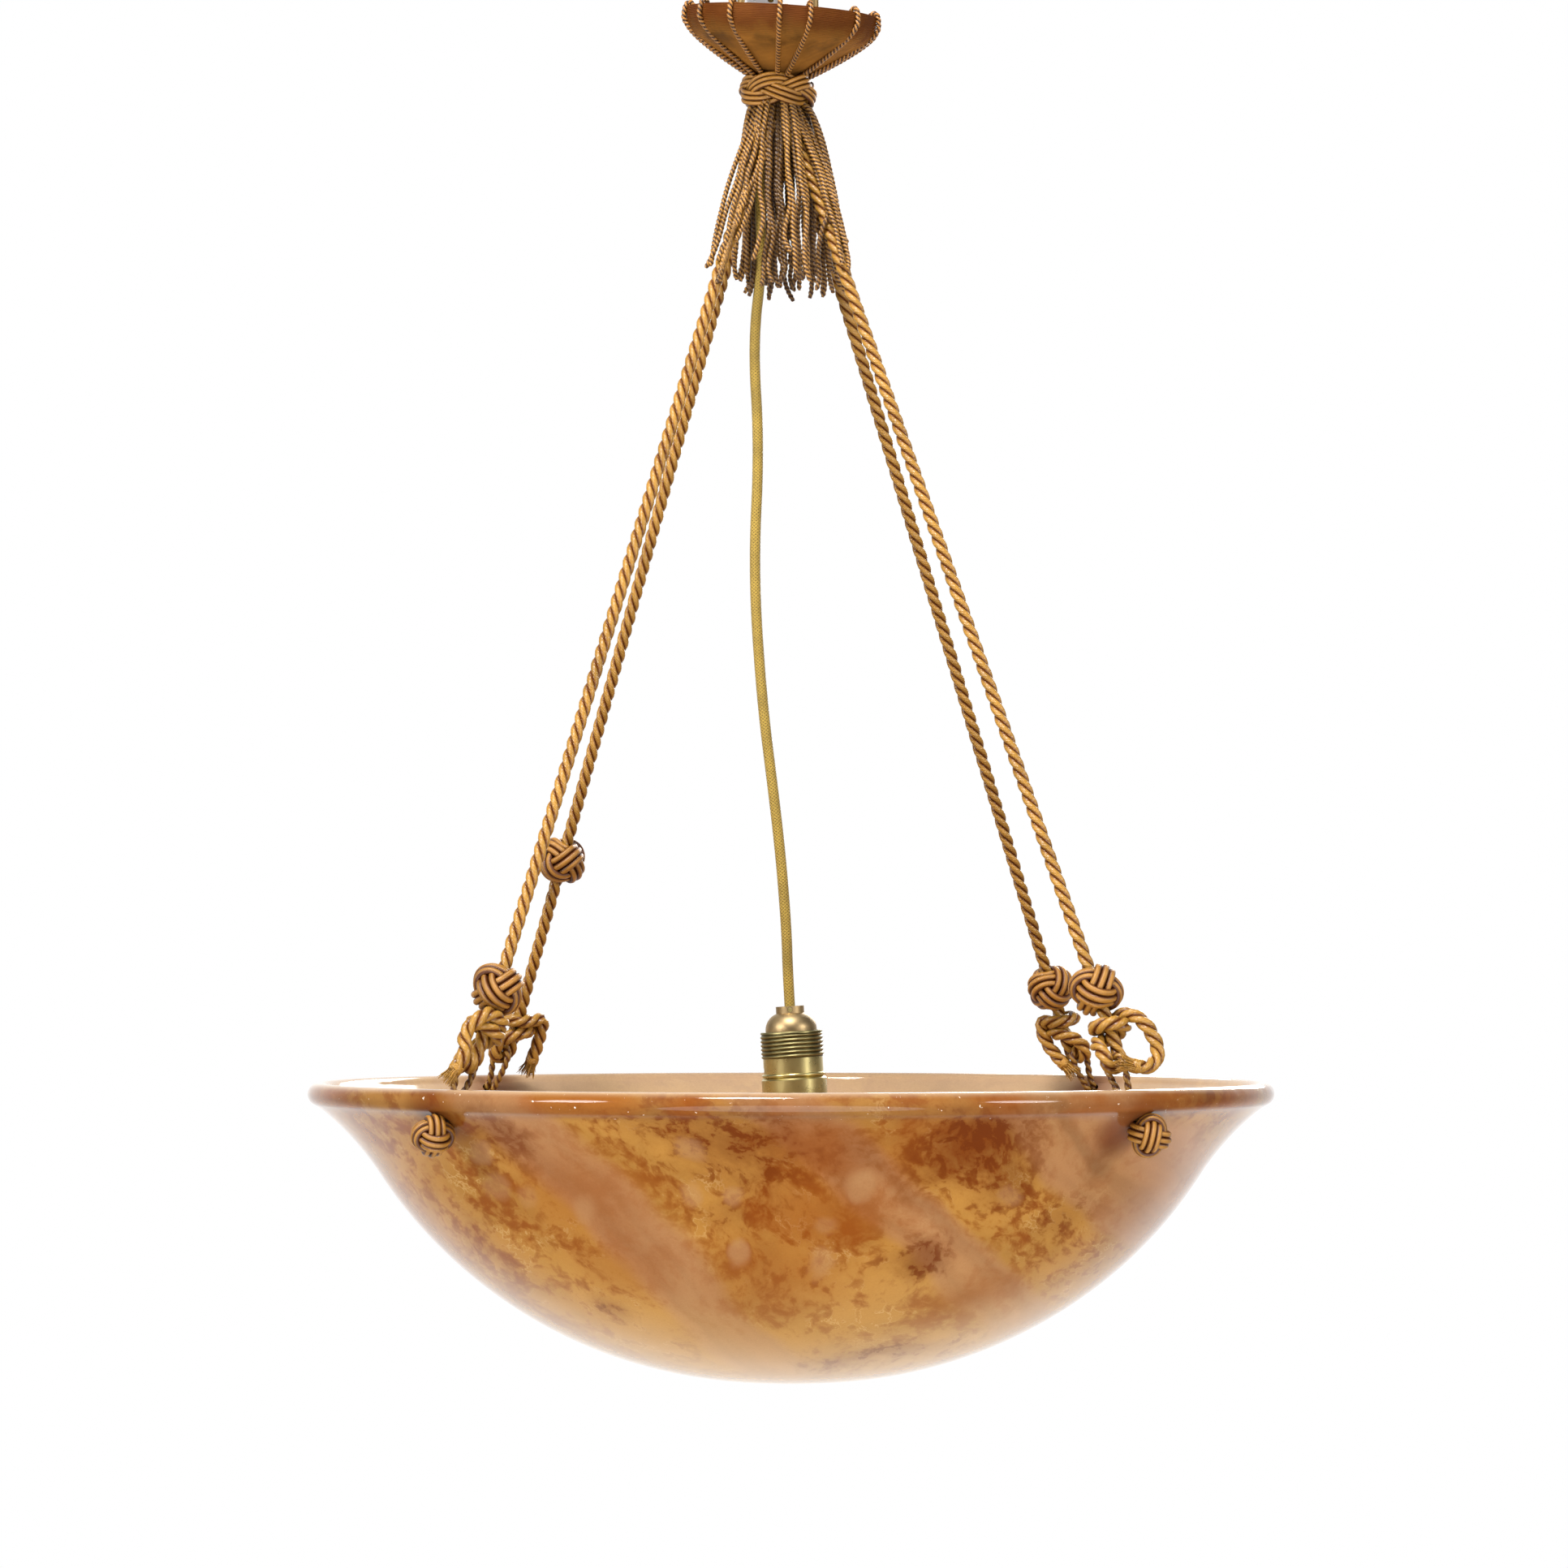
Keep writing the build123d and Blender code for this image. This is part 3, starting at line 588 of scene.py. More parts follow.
# Blots of the stone: middle, on the front and the back alike, half width, half height and strength
LEAST_BLOT = 0.02
UMBER_BLOTS = [
    (-0.024, 0.272, -0.718, 0.042, 0.036, 0.9), (-0.036, 0.285, -0.704, 0.048, 0.030, 0.65),
    (-0.008, 0.261, -0.733, 0.022, 0.041, 0.45), (0.115, 0.253, -0.717, 0.038, 0.031, 0.95),
    (0.134, 0.225, -0.737, 0.024, 0.024, 0.7), (0.103, 0.273, -0.701, 0.018, 0.020, 0.5),
    (0.080, 0.203, -0.790, 0.022, 0.016, 0.9), (0.062, 0.123, -0.846, 0.044, 0.010, 0.6),
    (-0.162, 0.223, -0.712, 0.022, 0.023, 0.7), (-0.101, 0.147, -0.817, 0.014, 0.010, 0.5),
    (0.171, 0.177, -0.762, 0.024, 0.015, 0.45), (-0.034, 0.240, -0.758, 0.018, 0.014, 0.5),
    (0.043, 0.265, -0.725, 0.018, 0.027, 0.35), (0.250, 0.160, -0.690, 0.030, 0.008, 0.9),
]
AMBER_BLOTS = [
    (0.090, 0.262, -0.712, 0.055, 0.034, 0.7), (0.073, 0.282, -0.699, 0.020, 0.014, 0.8),
    (0.104, 0.272, -0.689, 0.018, 0.008, 0.9),
    (-0.099, 0.268, -0.693, 0.020, 0.010, 0.7), (0.020, 0.275, -0.717, 0.036, 0.036, 0.9),
    (0.024, 0.242, -0.759, 0.046, 0.036, 0.8), (0.001, 0.212, -0.793, 0.047, 0.048, 0.6),
    (-0.122, 0.212, -0.751, 0.047, 0.041, 0.5), (-0.094, 0.190, -0.790, 0.035, 0.034, 0.45),
    (0.116, 0.158, -0.811, 0.035, 0.020, 0.5), (-0.050, 0.283, -0.689, 0.024, 0.008, 0.6),
]


def blots(f, place, rows, rough, soft=(1.5, 0.15)):
    """Share of the strongest of several blots at a place, which fade between two shares of their size."""
    share = 0.0
    for x, y, z, wide, tall, strength in rows:
        apart = f.vector("SUBTRACT", place, (x, y, z))
        apart = f.vector("DIVIDE", apart, (wide, max(wide, LEAST_BLOT), tall))
        far = f.math("ADD", f.vector("LENGTH", apart), rough)
        share = f.math("MAXIMUM", f.times(f.step(far, *soft), strength), share)
    return share


# Pale round spots of the stone
SPOTS = [
    (-0.047, 0.266, -0.721), (-0.028, 0.249, -0.747), (-0.053, 0.244, -0.747), (0.029, 0.238, -0.764),
    (0.027, 0.219, -0.786), (-0.025, 0.224, -0.779), (-0.166, 0.183, -0.745), (-0.146, 0.194, -0.752),
    (0.135, 0.217, -0.746), (-0.175, 0.197, -0.723), (0.048, 0.253, -0.740), (-0.113, 0.209, -0.760),
]


def alabaster(tint, lip):
    """Polished stone: slanting plain streaks between mottled bands of amber flecks on gold, soft amber and umber
    blots, short pale veins along the flecks, pale round spots, stains on the lip, darkening round the holes, a
    base painted paler as painted light, and an inside painted paler as painted light; lip is where its round
    starts and ends along the outline."""
    coat = {"Coat Weight": 1.0, "Coat Roughness": 0.07, "Coat IOR": 1.3}
    f = Finish("alabaster", {**coat, "Specular IOR Level": 0.0})
    drift = f.vector("SUBTRACT", f.noise(6.5, 3, 0.55, out=1), (0.5, 0.5, 0.5))
    place = f.vector("MULTIPLY_ADD", drift, (0.05, 0.05, 0.05), f.place)
    x, y, z = f.parts(place)
    both = f.point(x, f.math("ABSOLUTE", y), z)
    across = f.times(f.math("ADD", x, z), DIAGONAL)
    slant = f.times(f.math("SUBTRACT", x, z), DIAGONAL)
    share = f.scaled(across, 1 / BAND_SPAN, -BAND_START / BAND_SPAN)
    places = [(at - BAND_START) / BAND_SPAN for at, _ in BANDS]
    flecked = f.ramp(share, places, [(level,) * 3 for _, level in BANDS], "EASE")
    grain = f.point(across, f.times(y, 0.5), f.times(slant, 0.8))
    cloud = f.noise(18, 3, 0.55, place)
    fine = f.noise(150, 3, 0.6, grain, 0.3)
    level = f.scaled(f.noise(58, 4, 0.6, grain, 0.4), 0.62, f.times(fine, 0.38))
    level = f.scaled(f.math("SUBTRACT", cloud, 0.5), 0.35, level)
    # Streaks, gold, flecks and veins
    lines = f.noise(60, 2, 0.5, f.point(across, 0.3, f.times(slant, 0.06)))
    streak = f.ramp(lines, (0.3, 0.5, 0.72), tones(tint.streak, 1.16, 1.0, 0.76))
    gold = f.mix(f.step(cloud, 0.36, 0.68), tint.honey, tone(tint.honey, 0.8))
    stone = f.mix(f.step(f.scaled(cloud, 0.35, flecked), 0.25, 0.85), streak, gold)
    stone = f.mix(f.step(level, 0.46, 0.62), stone, tint.amber, f.scaled(flecked, 0.85, 0.06))
    small = f.step(f.scaled(level, 0.5, f.times(fine, 0.5)), 0.5, 0.57)
    stone = f.mix(small, stone, tone(tint.amber, 0.8), f.times(flecked, 0.28))
    near = f.step(f.math("ABSOLUTE", f.math("SUBTRACT", level, 0.475)), 0.016, 0.004)
    vein = f.times(near, f.step(f.noise(30, 2), 0.48, 0.66))
    stone = f.mix(vein, stone, tint.vein, f.times(flecked, 0.45))
    # Painted light: the base is paled towards the vein colour, a painted reflection of the light from below
    stone = f.mix(f.step(z, -0.775, -0.868), stone, tint.vein, 0.6)
    # Blots and spots
    rough = f.scaled(level, -2.2, 1.06)
    stone = f.mix(blots(f, both, AMBER_BLOTS, f.times(rough, 0.7)), stone, tint.amber, 0.85)
    stone = f.mix(blots(f, both, UMBER_BLOTS, rough), stone, tint.umber, f.scaled(small, 0.3, 0.65))
    sizes = zip(SPOTS, 0.005 + 0.003 * chance(len(SPOTS), 51), 0.5 + 0.5 * chance(len(SPOTS), 52))
    spots = [(*spot, wide, wide, strength) for spot, wide, strength in sizes]
    stone = f.mix(blots(f, both, spots, rough, (1.5, 0.5)), stone, tint.spot, 0.6)
    # Inside, lip and holes: painted light on the inside, stains and specks on the lip, darkening round the holes
    run = f.parts(f.uv)[1]
    inside = f.step(run, lip.mean() - 0.002, lip.mean() + 0.004)
    # Painted light: the inside is painted paler, standing in for the light it catches
    stone = f.mix(inside, stone, srgb(198, 170, 136), 0.72)
    edge = f.times(f.step(run, lip[0] - 0.006, lip[0] + 0.004), f.math("SUBTRACT", 1.0, inside))
    stone = f.mix(edge, stone, tone(tint.streak, 0.5), 0.4)
    stain = f.times(edge, f.step(f.noise(13, 3, 0.6), 0.44, 0.6))
    stone = f.mix(stain, stone, tint.amber, 0.6)
    # Darker round each hole
    for corner in CORNERS:
        hole, through = corner_axes(corner)[:2]
        far = f.vector("DISTANCE", place, tuple(hole + through * 2 * MM))
        stone = f.mix(f.step(far, 0.034, 0.010), stone, tint.umber, 0.75)
    stone = f.mix(f.noise(800, 2), stone, tone(tint.umber, 0.8), 0.2)
    speck = f.times(edge, f.step(f.noise(420, 2), 0.72, 0.77))
    f.show("Base Color", f.mix(speck, stone, srgb(240, 226, 204)))
    f.show("Roughness", f.scaled(fine, 0.2, 0.35))
    f.relief(f.noise(160, 2), 0.0002, 0.06)
    return f.material


def silk(name, tint, deep, groove_shade_span, pitch, slope):
    """Twisted silk: painted shade darkens the grooves, which lie away from the outside of each strand, to the deep
    colour; with fine yarn lines at a slope to the strand and cloudy fading."""
    sheen = {"Sheen Weight": 0.02, "Sheen Roughness": 0.4, "Sheen Tint": (*tint[:3], 1)}
    f = Finish(name, {**sheen, "Specular IOR Level": 0.5})
    run, share = f.parts(f.uv)[:2]
    fade = f.noise(38, 3, 0.6)
    ground = f.ramp(fade, (0.28, 0.5, 0.74), tones(tint, 0.68, 1.0, 1.2))
    yarn = f.wave(f.scaled(share, slope, f.times(run, 1 / pitch)), 1.0)
    ground = f.mix(yarn, ground, tone(tint, 0.55), 0.25)
    # Painted shade: the deep colour is painted into the grooves between the strands
    sunk = f.step(f.math("ABSOLUTE", share), *groove_shade_span)
    f.show("Base Color", f.mix(sunk, ground, deep, 0.96))
    f.show("Roughness", f.scaled(fade, 0.2, 0.3))
    f.relief(f.math("ADD", yarn, f.noise(900, 2)), 0.0002, 0.5)
    return f.material


def ribbed_silk(tint, rim):
    """Stretched ribbed silk: fine level ribs, browned towards the rim, which lies at that place along the outline,
    and in cloudy stains that run down; with painted shade at the foot by the hole."""
    f = Finish("canopy_silk", {"Specular IOR Level": 0.08})
    run = f.parts(f.uv)[1]
    x, y, height = f.parts(f.place)
    rib = f.wave(run, 0.0011)
    stain = f.noise(46, 4, 0.62, f.point(x, y, f.times(height, 0.4)))
    ground = f.ramp(stain, (0.36, 0.5, 0.66), tones(tint, 0.45, 1.0, 1.6))
    ground = f.mix(f.step(run, rim - 0.016, rim - 0.04), ground, tone(tint, 1.45), 0.6)
    # Painted shade at the foot by the hole, where the converging cords shade the silk
    ground = f.mix(f.step(run, 0.018, 0.004), ground, tone(tint, 0.3), 0.6)
    ground = f.mix(rib, ground, tone(tint, 0.4), 0.42)
    brown = f.step(f.scaled(stain, 0.04, run), rim + 0.002, rim + 0.018)
    f.show("Base Color", f.mix(brown, ground, srgb(80, 35, 5), 0.85))
    f.show("Roughness", f.scaled(stain, 0.2, 0.55))
    f.relief(rib, 0.0003, 0.6)
    return f.material


def braided_cloth(tint):
    """Braided cover: two sets of slanting yarns crossing over and under each other."""
    f = Finish("flex_cloth", {"Sheen Weight": 0.2, "Specular IOR Level": 0.35})
    run, share = f.parts(f.uv)[:2]
    row = f.times(run, 480)
    cross = f.math("MAXIMUM", *(f.wave(f.scaled(share, way, row), 1.0) for way in (8.0, -8.0)))
    fade = f.noise(60, 3)
    ground = f.ramp(fade, (0.3, 0.5, 0.72), tones(tint, 0.78, 1.0, 1.2))
    f.show("Base Color", f.mix(f.step(cross, 0.75, 0.25), ground, tone(tint, 0.5)))
    f.show("Roughness", f.scaled(fade, 0.2, 0.5))
    f.relief(cross, 0.0003, 0.7)
    return f.material


def old_brass(name, tint, rough, tarnish):
    """Turned brass: cloudy tarnish, dark in recesses, with fine turning lines round the axis."""
    f = Finish(name, {"Metallic": 1.0})
    cloud = f.noise(70, 4, 0.6)
    lines = f.noise(1.0, 2, 0.5, f.point(0.0, 0.0, f.times(f.parts(f.place)[2], 2600)))
    ground = f.ramp(cloud, (0.32, 0.55, 0.75), tones(tint, 1.0 - tarnish, 1.0, 1.1))
    recess = f.add("Attribute", {}, attribute_name="recess").outputs["Fac"]
    f.show("Base Color", f.mix(recess, ground, tone(tint, 0.12), 0.85))
    f.show("Roughness", f.scaled(cloud, 0.25, rough))
    f.relief(lines, 0.00005, 0.3)
    return f.material


def plain(name, tint, rough, grain=60.0, metal=0.0):
    """Plain finish with slight cloudy change of tone and gloss."""
    f = Finish(name, {"Metallic": metal})
    cloud = f.noise(grain, 3)
    f.show("Base Color", f.ramp(cloud, (0.3, 0.7), tones(tint, 0.82, 1.08)))
    f.show("Roughness", f.scaled(cloud, 0.2, rough - 0.1))
    return f.material


# Pieces
FRAY_YARNS = 90
STRAND_PITCH = 0.97
SLIDER_BORE = 4.9 * MM
SLING_LAY = 0.011
COLLAR_LEADS = 3
COLLAR_BIGHTS = 5
GOLDEN_TURN = 0.381966
ROPE_CLEAR = 6.0 * MM
FLEX_CLEAR = 5.0 * MM


def frayed_end(name, ends, radius):
    """Brush of loose yarns at rope ends: each yarn leaves the end face, spreads with the square of its length and
    thins out; and a few turns of thread that whip the end."""
    groups = []
    for seed, (tip, ahead, side, other) in enumerate(ends):
        turned, inset, long, wider = (chance(FRAY_YARNS, 10 * seed + draw) for draw in (1, 2, 3, 4))
        turn = TURN * turned
        start = radius * 0.95 * np.sqrt(inset)
        reach = (5 + 4.5 * long) * MM
        spread = (0.15 + 0.75 * wider) * start
        t = np.linspace(-0.35, 1, 8)
        out = np.cos(turn)[:, None] * side + np.sin(turn)[:, None] * other
        wide = start[:, None] + spread[:, None] * np.maximum(t, 0) ** 1.6
        lines = tip + ahead * (reach[:, None] * t)[..., None] + out[:, None, :] * wide[..., None]
        thin = 0.34 * MM * (1 - 0.6 * np.maximum(t, 0))
        groups.append(tubes(lines, np.broadcast_to(out[:, None, :], lines.shape), thin, 4))
        turns = np.linspace(0, 4 * TURN, 65)
        ring = np.cos(turns)[:, None] * side + np.sin(turns)[:, None] * other
        thread = tip - ahead * (4.5 * MM - 0.75 * MM * turns[:, None] / TURN) + ring * radius
        groups.append(tubes(thread, ring, 0.45 * MM, 6))
    return put_mesh(name, *joined(groups))


def ball_knot(name, radius, strand, opening, middle, axes):
    """Ball knot of three bands at right angles, three strands side by side in each: distance from the middle is
    mean + weave cos 2a, so each band passes over one and under the other; the distance from the axis is then
    opened to the root of distance squared plus opening squared."""
    thick = strand / 2
    weave = 0.95 * thick
    angle = TURN * np.arange(72) / 72
    aside = np.array([-1, 0, 1])[:, None] * strand * STRAND_PITCH
    far = radius - thick - weave + weave * np.cos(2 * angle) - 0.12 * np.abs(aside)
    flat = np.sqrt(far ** 2 - aside ** 2)
    band = np.stack([flat * np.cos(angle), flat * np.sin(angle), np.broadcast_to(aside, flat.shape)], axis=-1)
    loops = np.concatenate([np.roll(band, turn, axis=-1) for turn in range(3)])
    corner = unit(np.array([[1, -1, 0], [1, 1, -2], [1, 1, 1]], float))
    loops = loops @ corner.T
    gap = np.linalg.norm(loops[..., :2], axis=-1, keepdims=True)
    loops[..., :2] *= np.sqrt(gap ** 2 + opening ** 2) / gap
    out = unit(loops)
    # A round core closes the gaps between the bands; it is a dark sheet of painted shade
    core = radius - 2.6 * thick - weave
    height = core * np.sin(np.linspace(-1.5, 1.5, 15))
    axle = np.stack([0 * height, 0 * height, height], axis=-1)
    inner = tubes(axle @ axes + middle, np.broadcast_to(axes[0], axle.shape), np.sqrt(core ** 2 - height ** 2), 24)
    # Its UV lies in the silk's groove band, so the core takes only the painted groove shade
    inner = (*inner[:2], [np.full_like(part, 0.49) for part in inner[2]])
    return put_mesh(name, *joined([tubes(loops @ axes + middle, out @ axes, thick, 12, closed=True), inner]))


def spun(x, z, angle):
    """Axes of a ball with z along its rope, turned about it."""
    z = unit(np.asarray(z, float))
    x = unit(x - z * (x @ z))
    y = np.cross(z, x)
    return np.stack([math.cos(angle) * x + math.sin(angle) * y, math.cos(angle) * y - math.sin(angle) * x, z])


def about_y(turn):
    """Turn about Y as a matrix."""
    return np.array([[math.cos(turn), 0, math.sin(turn)], [0, 1, 0], [-math.sin(turn), 0, math.cos(turn)]])


def leaning(points):
    """Places round the lampholder's axis, which leans so that its mouth is further right."""
    return points @ about_y(HOLDER_LEAN) + HOLDER_PLACE


def canopy_place(points):
    """Places of the canopy, which nods to the front and leans to the right about its hole."""
    cos, sin = math.cos(CANOPY_NOD), math.sin(CANOPY_NOD)
    about_x = np.array([[1, 0, 0], [0, cos, -sin], [0, sin, cos]])
    hung = points + np.array([0, 0, CANOPY_HEIGHT])
    return hung @ (about_x @ about_y(CANOPY_LEAN)).T + np.array([0, 0, CANOPY_RIM_Z - CANOPY_HEIGHT])


def canopy_outline(inset):
    """Outer line of the canopy from the rim down to its hole, set inwards: an upright rim, a round and a cone."""
    wide = CANOPY_RADIUS - inset
    drop = CANOPY_CORNER + inset * math.tan(CANOPY_SLOPE) - inset / math.cos(CANOPY_SLOPE)
    corner = np.array([wide, -drop])
    reach = (CANOPY_ROUND - inset) * math.tan((math.pi / 2 - CANOPY_SLOPE) / 2)
    top, cone = np.array([0, 1]), np.array([-math.cos(CANOPY_SLOPE), -math.sin(CANOPY_SLOPE)])
    turned = bent(corner + top * reach, -top, corner + cone * reach, 14)[0]
    foot = corner + cone * ((wide - CANOPY_HOLE) / math.cos(CANOPY_SLOPE))
    steps = np.linspace(0, 1, 22)[1:, None]
    return np.concatenate([[corner + top * reach], turned, turned[-1] + (foot - turned[-1]) * steps])


class PENDANT_OT_ropes(bpy.types.Operator):
    """Lay both hanging ropes, each doubled over the link and hitched to two bowl slings"""

    bl_idname = "pendant.ropes"
    bl_label = "Hanging ropes"

    def execute(self, context):
        size, tint = settings(context)
        # The dark colours given to silk are painted shade: in the rope's grooves and on the inner side of the
        # frayed yarns
        finish = silk("rope_silk", tint.rope, srgb(96, 46, 6), (0.1, 0.27), 0.0042, 7.0)
        brush = silk("fray_silk", tone(tint.rope, 1.15), srgb(150, 104, 52), (0.3, 0.5), 0.002, 2.0)
        strand = size.rope_diameter / 2 / (1 + 2 / math.sqrt(3))
        for side in ("left", "right"):
            front, back = "front_" + side, "back_" + side
            line = route_line(rope_route(front, back), size.rope_lay / 12)
            aside, other = carried(line)
            # The rope is fuller where it is slack, in the hitches
            run = along(line)
            full = 1 + 0.11 * np.clip((0.19 - np.minimum(run, run[-1] - run)) / 0.03, 0, 1)
            lines, out = plies(line, aside, other, 3, full[:, None] * strand * 2 / math.sqrt(3), size.rope_lay)
            rope = put_mesh("rope_" + side, *tubes(lines, out, full * strand * 1.05, 12))
            dress(rope, "pendant", "rope_silk", finish, "rope_" + front, "rope_" + back, "rope_crowns")
            ahead = heading(line)
            ends = [(line[0], -ahead[0], aside[0], other[0]), (line[-1], ahead[-1], aside[-1], other[-1])]
            brushes = frayed_end("rope_ends_" + side, ends, size.rope_diameter / 2)
            dress(brushes, "pendant", "rope_silk", brush)
        return {"FINISHED"}


class PENDANT_OT_slings(bpy.types.Operator):
    """Loop a twisted sling from each hitch through the bowl's hole to its stopper knot"""

    bl_idname = "pendant.slings"
    bl_label = "Bowl slings"

    def execute(self, context):
        size, tint = settings(context)
        # The dark colour given to silk is painted shade in the grooves between the plies
        finish = silk("sling_silk", tone(tint.rope, 0.82), srgb(80, 36, 4), (0.16, 0.38), 0.003, 5.0)
        for corner in CORNERS:
            hole, through, _, _, across, facing, _ = corner_axes(corner)
            narrow = np.cross([0, 0, 1], across)
            narrow = unit(narrow - through * (narrow @ through))
            narrow = narrow if narrow @ facing > 0 else -narrow
            eye, top = from_foot(corner, [(-LINK_GAP, 0, -LINK_GAP - ROPE_RADIUS), (-LINK_GAP, 0, 0)])
            inside = hole - through * SLING_TURN
            half = [
                hole + through * SLING_TUCK + narrow * SLING_SIDE,
                inside + narrow * SLING_SIDE,
                eye + facing * LINK_GAP,
                top + facing * LINK_GAP,
            ]
            back = [
                top - facing * LINK_GAP,
                eye - facing * LINK_GAP,
                inside - narrow * SLING_SIDE,
                hole + through * SLING_TUCK - narrow * SLING_SIDE,
            ]
            line = route_line(half + back, 0.6 * MM)
            aside, other = carried(line)
            shape = twisted(line[None], aside[None], other[None], size.sling_diameter / 2, SLING_LAY, [0.0], 16)
            sling = put_mesh("sling_cord_" + corner, *shape)
            dress(sling, "pendant", "sling_silk", finish, "sling_" + corner)
        return {"FINISHED"}


class PENDANT_OT_knots(bpy.types.Operator):
    """Tie the sliding ball knots on the ropes and the stopper knots under the bowl's lip"""

    bl_idname = "pendant.knots"
    bl_label = "Ball knots"

    def execute(self, context):
        size, tint = settings(context)
        # The dark colour given to silk is painted shade in the grooves and on the knots' cores
        finish = silk("knot_silk", tint.knot, srgb(76, 32, 3), (0.05, 0.18), 0.00085, 0.0)
        spins = {"front_left": 1.7, "front_right": 2.1, "back_left": 3.9, "back_right": 5.0}
        for corner in CORNERS:
            hole, through, _, foot, across, _, up = corner_axes(corner)
            middle = foot + up * SLIDER_UP[corner]
            axes = spun(across, up, spins[corner])
            radius, strand = size.slider_radius * 0.965, size.slider_strand
            slider = ball_knot("sliding_knot_" + corner, radius, strand, SLIDER_BORE, middle, axes)
            dress(slider, "slider_" + corner, "knot_silk", finish, "slider_" + corner)
            axes = spun(np.array([0, 0, 1.0]), through, spins[corner] + 0.4)
            middle = hole + through * (size.stopper_radius + 0.2 * MM - STOPPER_SEAT)
            radius, strand = size.stopper_radius, size.stopper_strand
            stopper = ball_knot("stopper_knot_" + corner, radius, strand, 0.0, middle, axes)
            dress(stopper, "pendant", "knot_silk", finish, "stopper_" + corner)
        return {"FINISHED"}


class PENDANT_OT_collar(bpy.types.Operator):
    """Plait the collar round the head of the tassel"""

    bl_idname = "pendant.collar"
    bl_label = "Plaited collar"

    def execute(self, context):
        # Plait: height = rise sin p, distance from the axis = mean + weave sin 2p, with p five thirds of the way
        # round; the whole is rounded off to the edges
        size, tint = settings(context)
        # Painted light: the collar silk is a lighter copy of the knot silk, set against the canopy's shadow; its
        # dark colour is painted shade in the grooves
        finish = silk("collar_silk", tone(tint.knot, 1.15), srgb(70, 30, 3), (0.05, 0.17), 0.00085, 0.0)
        thick = size.collar_strand / 2
        weave = 2.3 * MM
        way = COLLAR_LEADS * TURN * np.arange(900) / 900
        phase = way * COLLAR_BIGHTS / COLLAR_LEADS
        rise = size.collar_height / 2 - 1.42 * size.collar_strand
        mean = size.collar_radius - weave - thick
        far = mean + weave * np.sin(2 * phase)
        line = np.stack([far * np.cos(way), far * np.sin(way), rise * np.sin(phase)], axis=-1)
        out = np.stack([np.cos(way), np.sin(way), 0 * way], axis=-1)
        ahead = unit(np.roll(line, -1, axis=0) - np.roll(line, 1, axis=0))
        aside = np.cross(ahead, out)
        lines = line + np.array([-1, 0, 1])[:, None, None] * size.collar_strand * STRAND_PITCH * aside
        lines = lines - 3.0 * MM * (lines[..., 2:] / (10 * MM)) ** 2 * out
        points, faces, uv = tubes(lines, np.broadcast_to(out, lines.shape), thick, 12, closed=True)
        collar = put_mesh("collar_plait", points + np.array([0, 0, COLLAR_Z]), faces, uv)
        dress(collar, "pendant", "knot_silk", finish, "collar_knot")
        return {"FINISHED"}


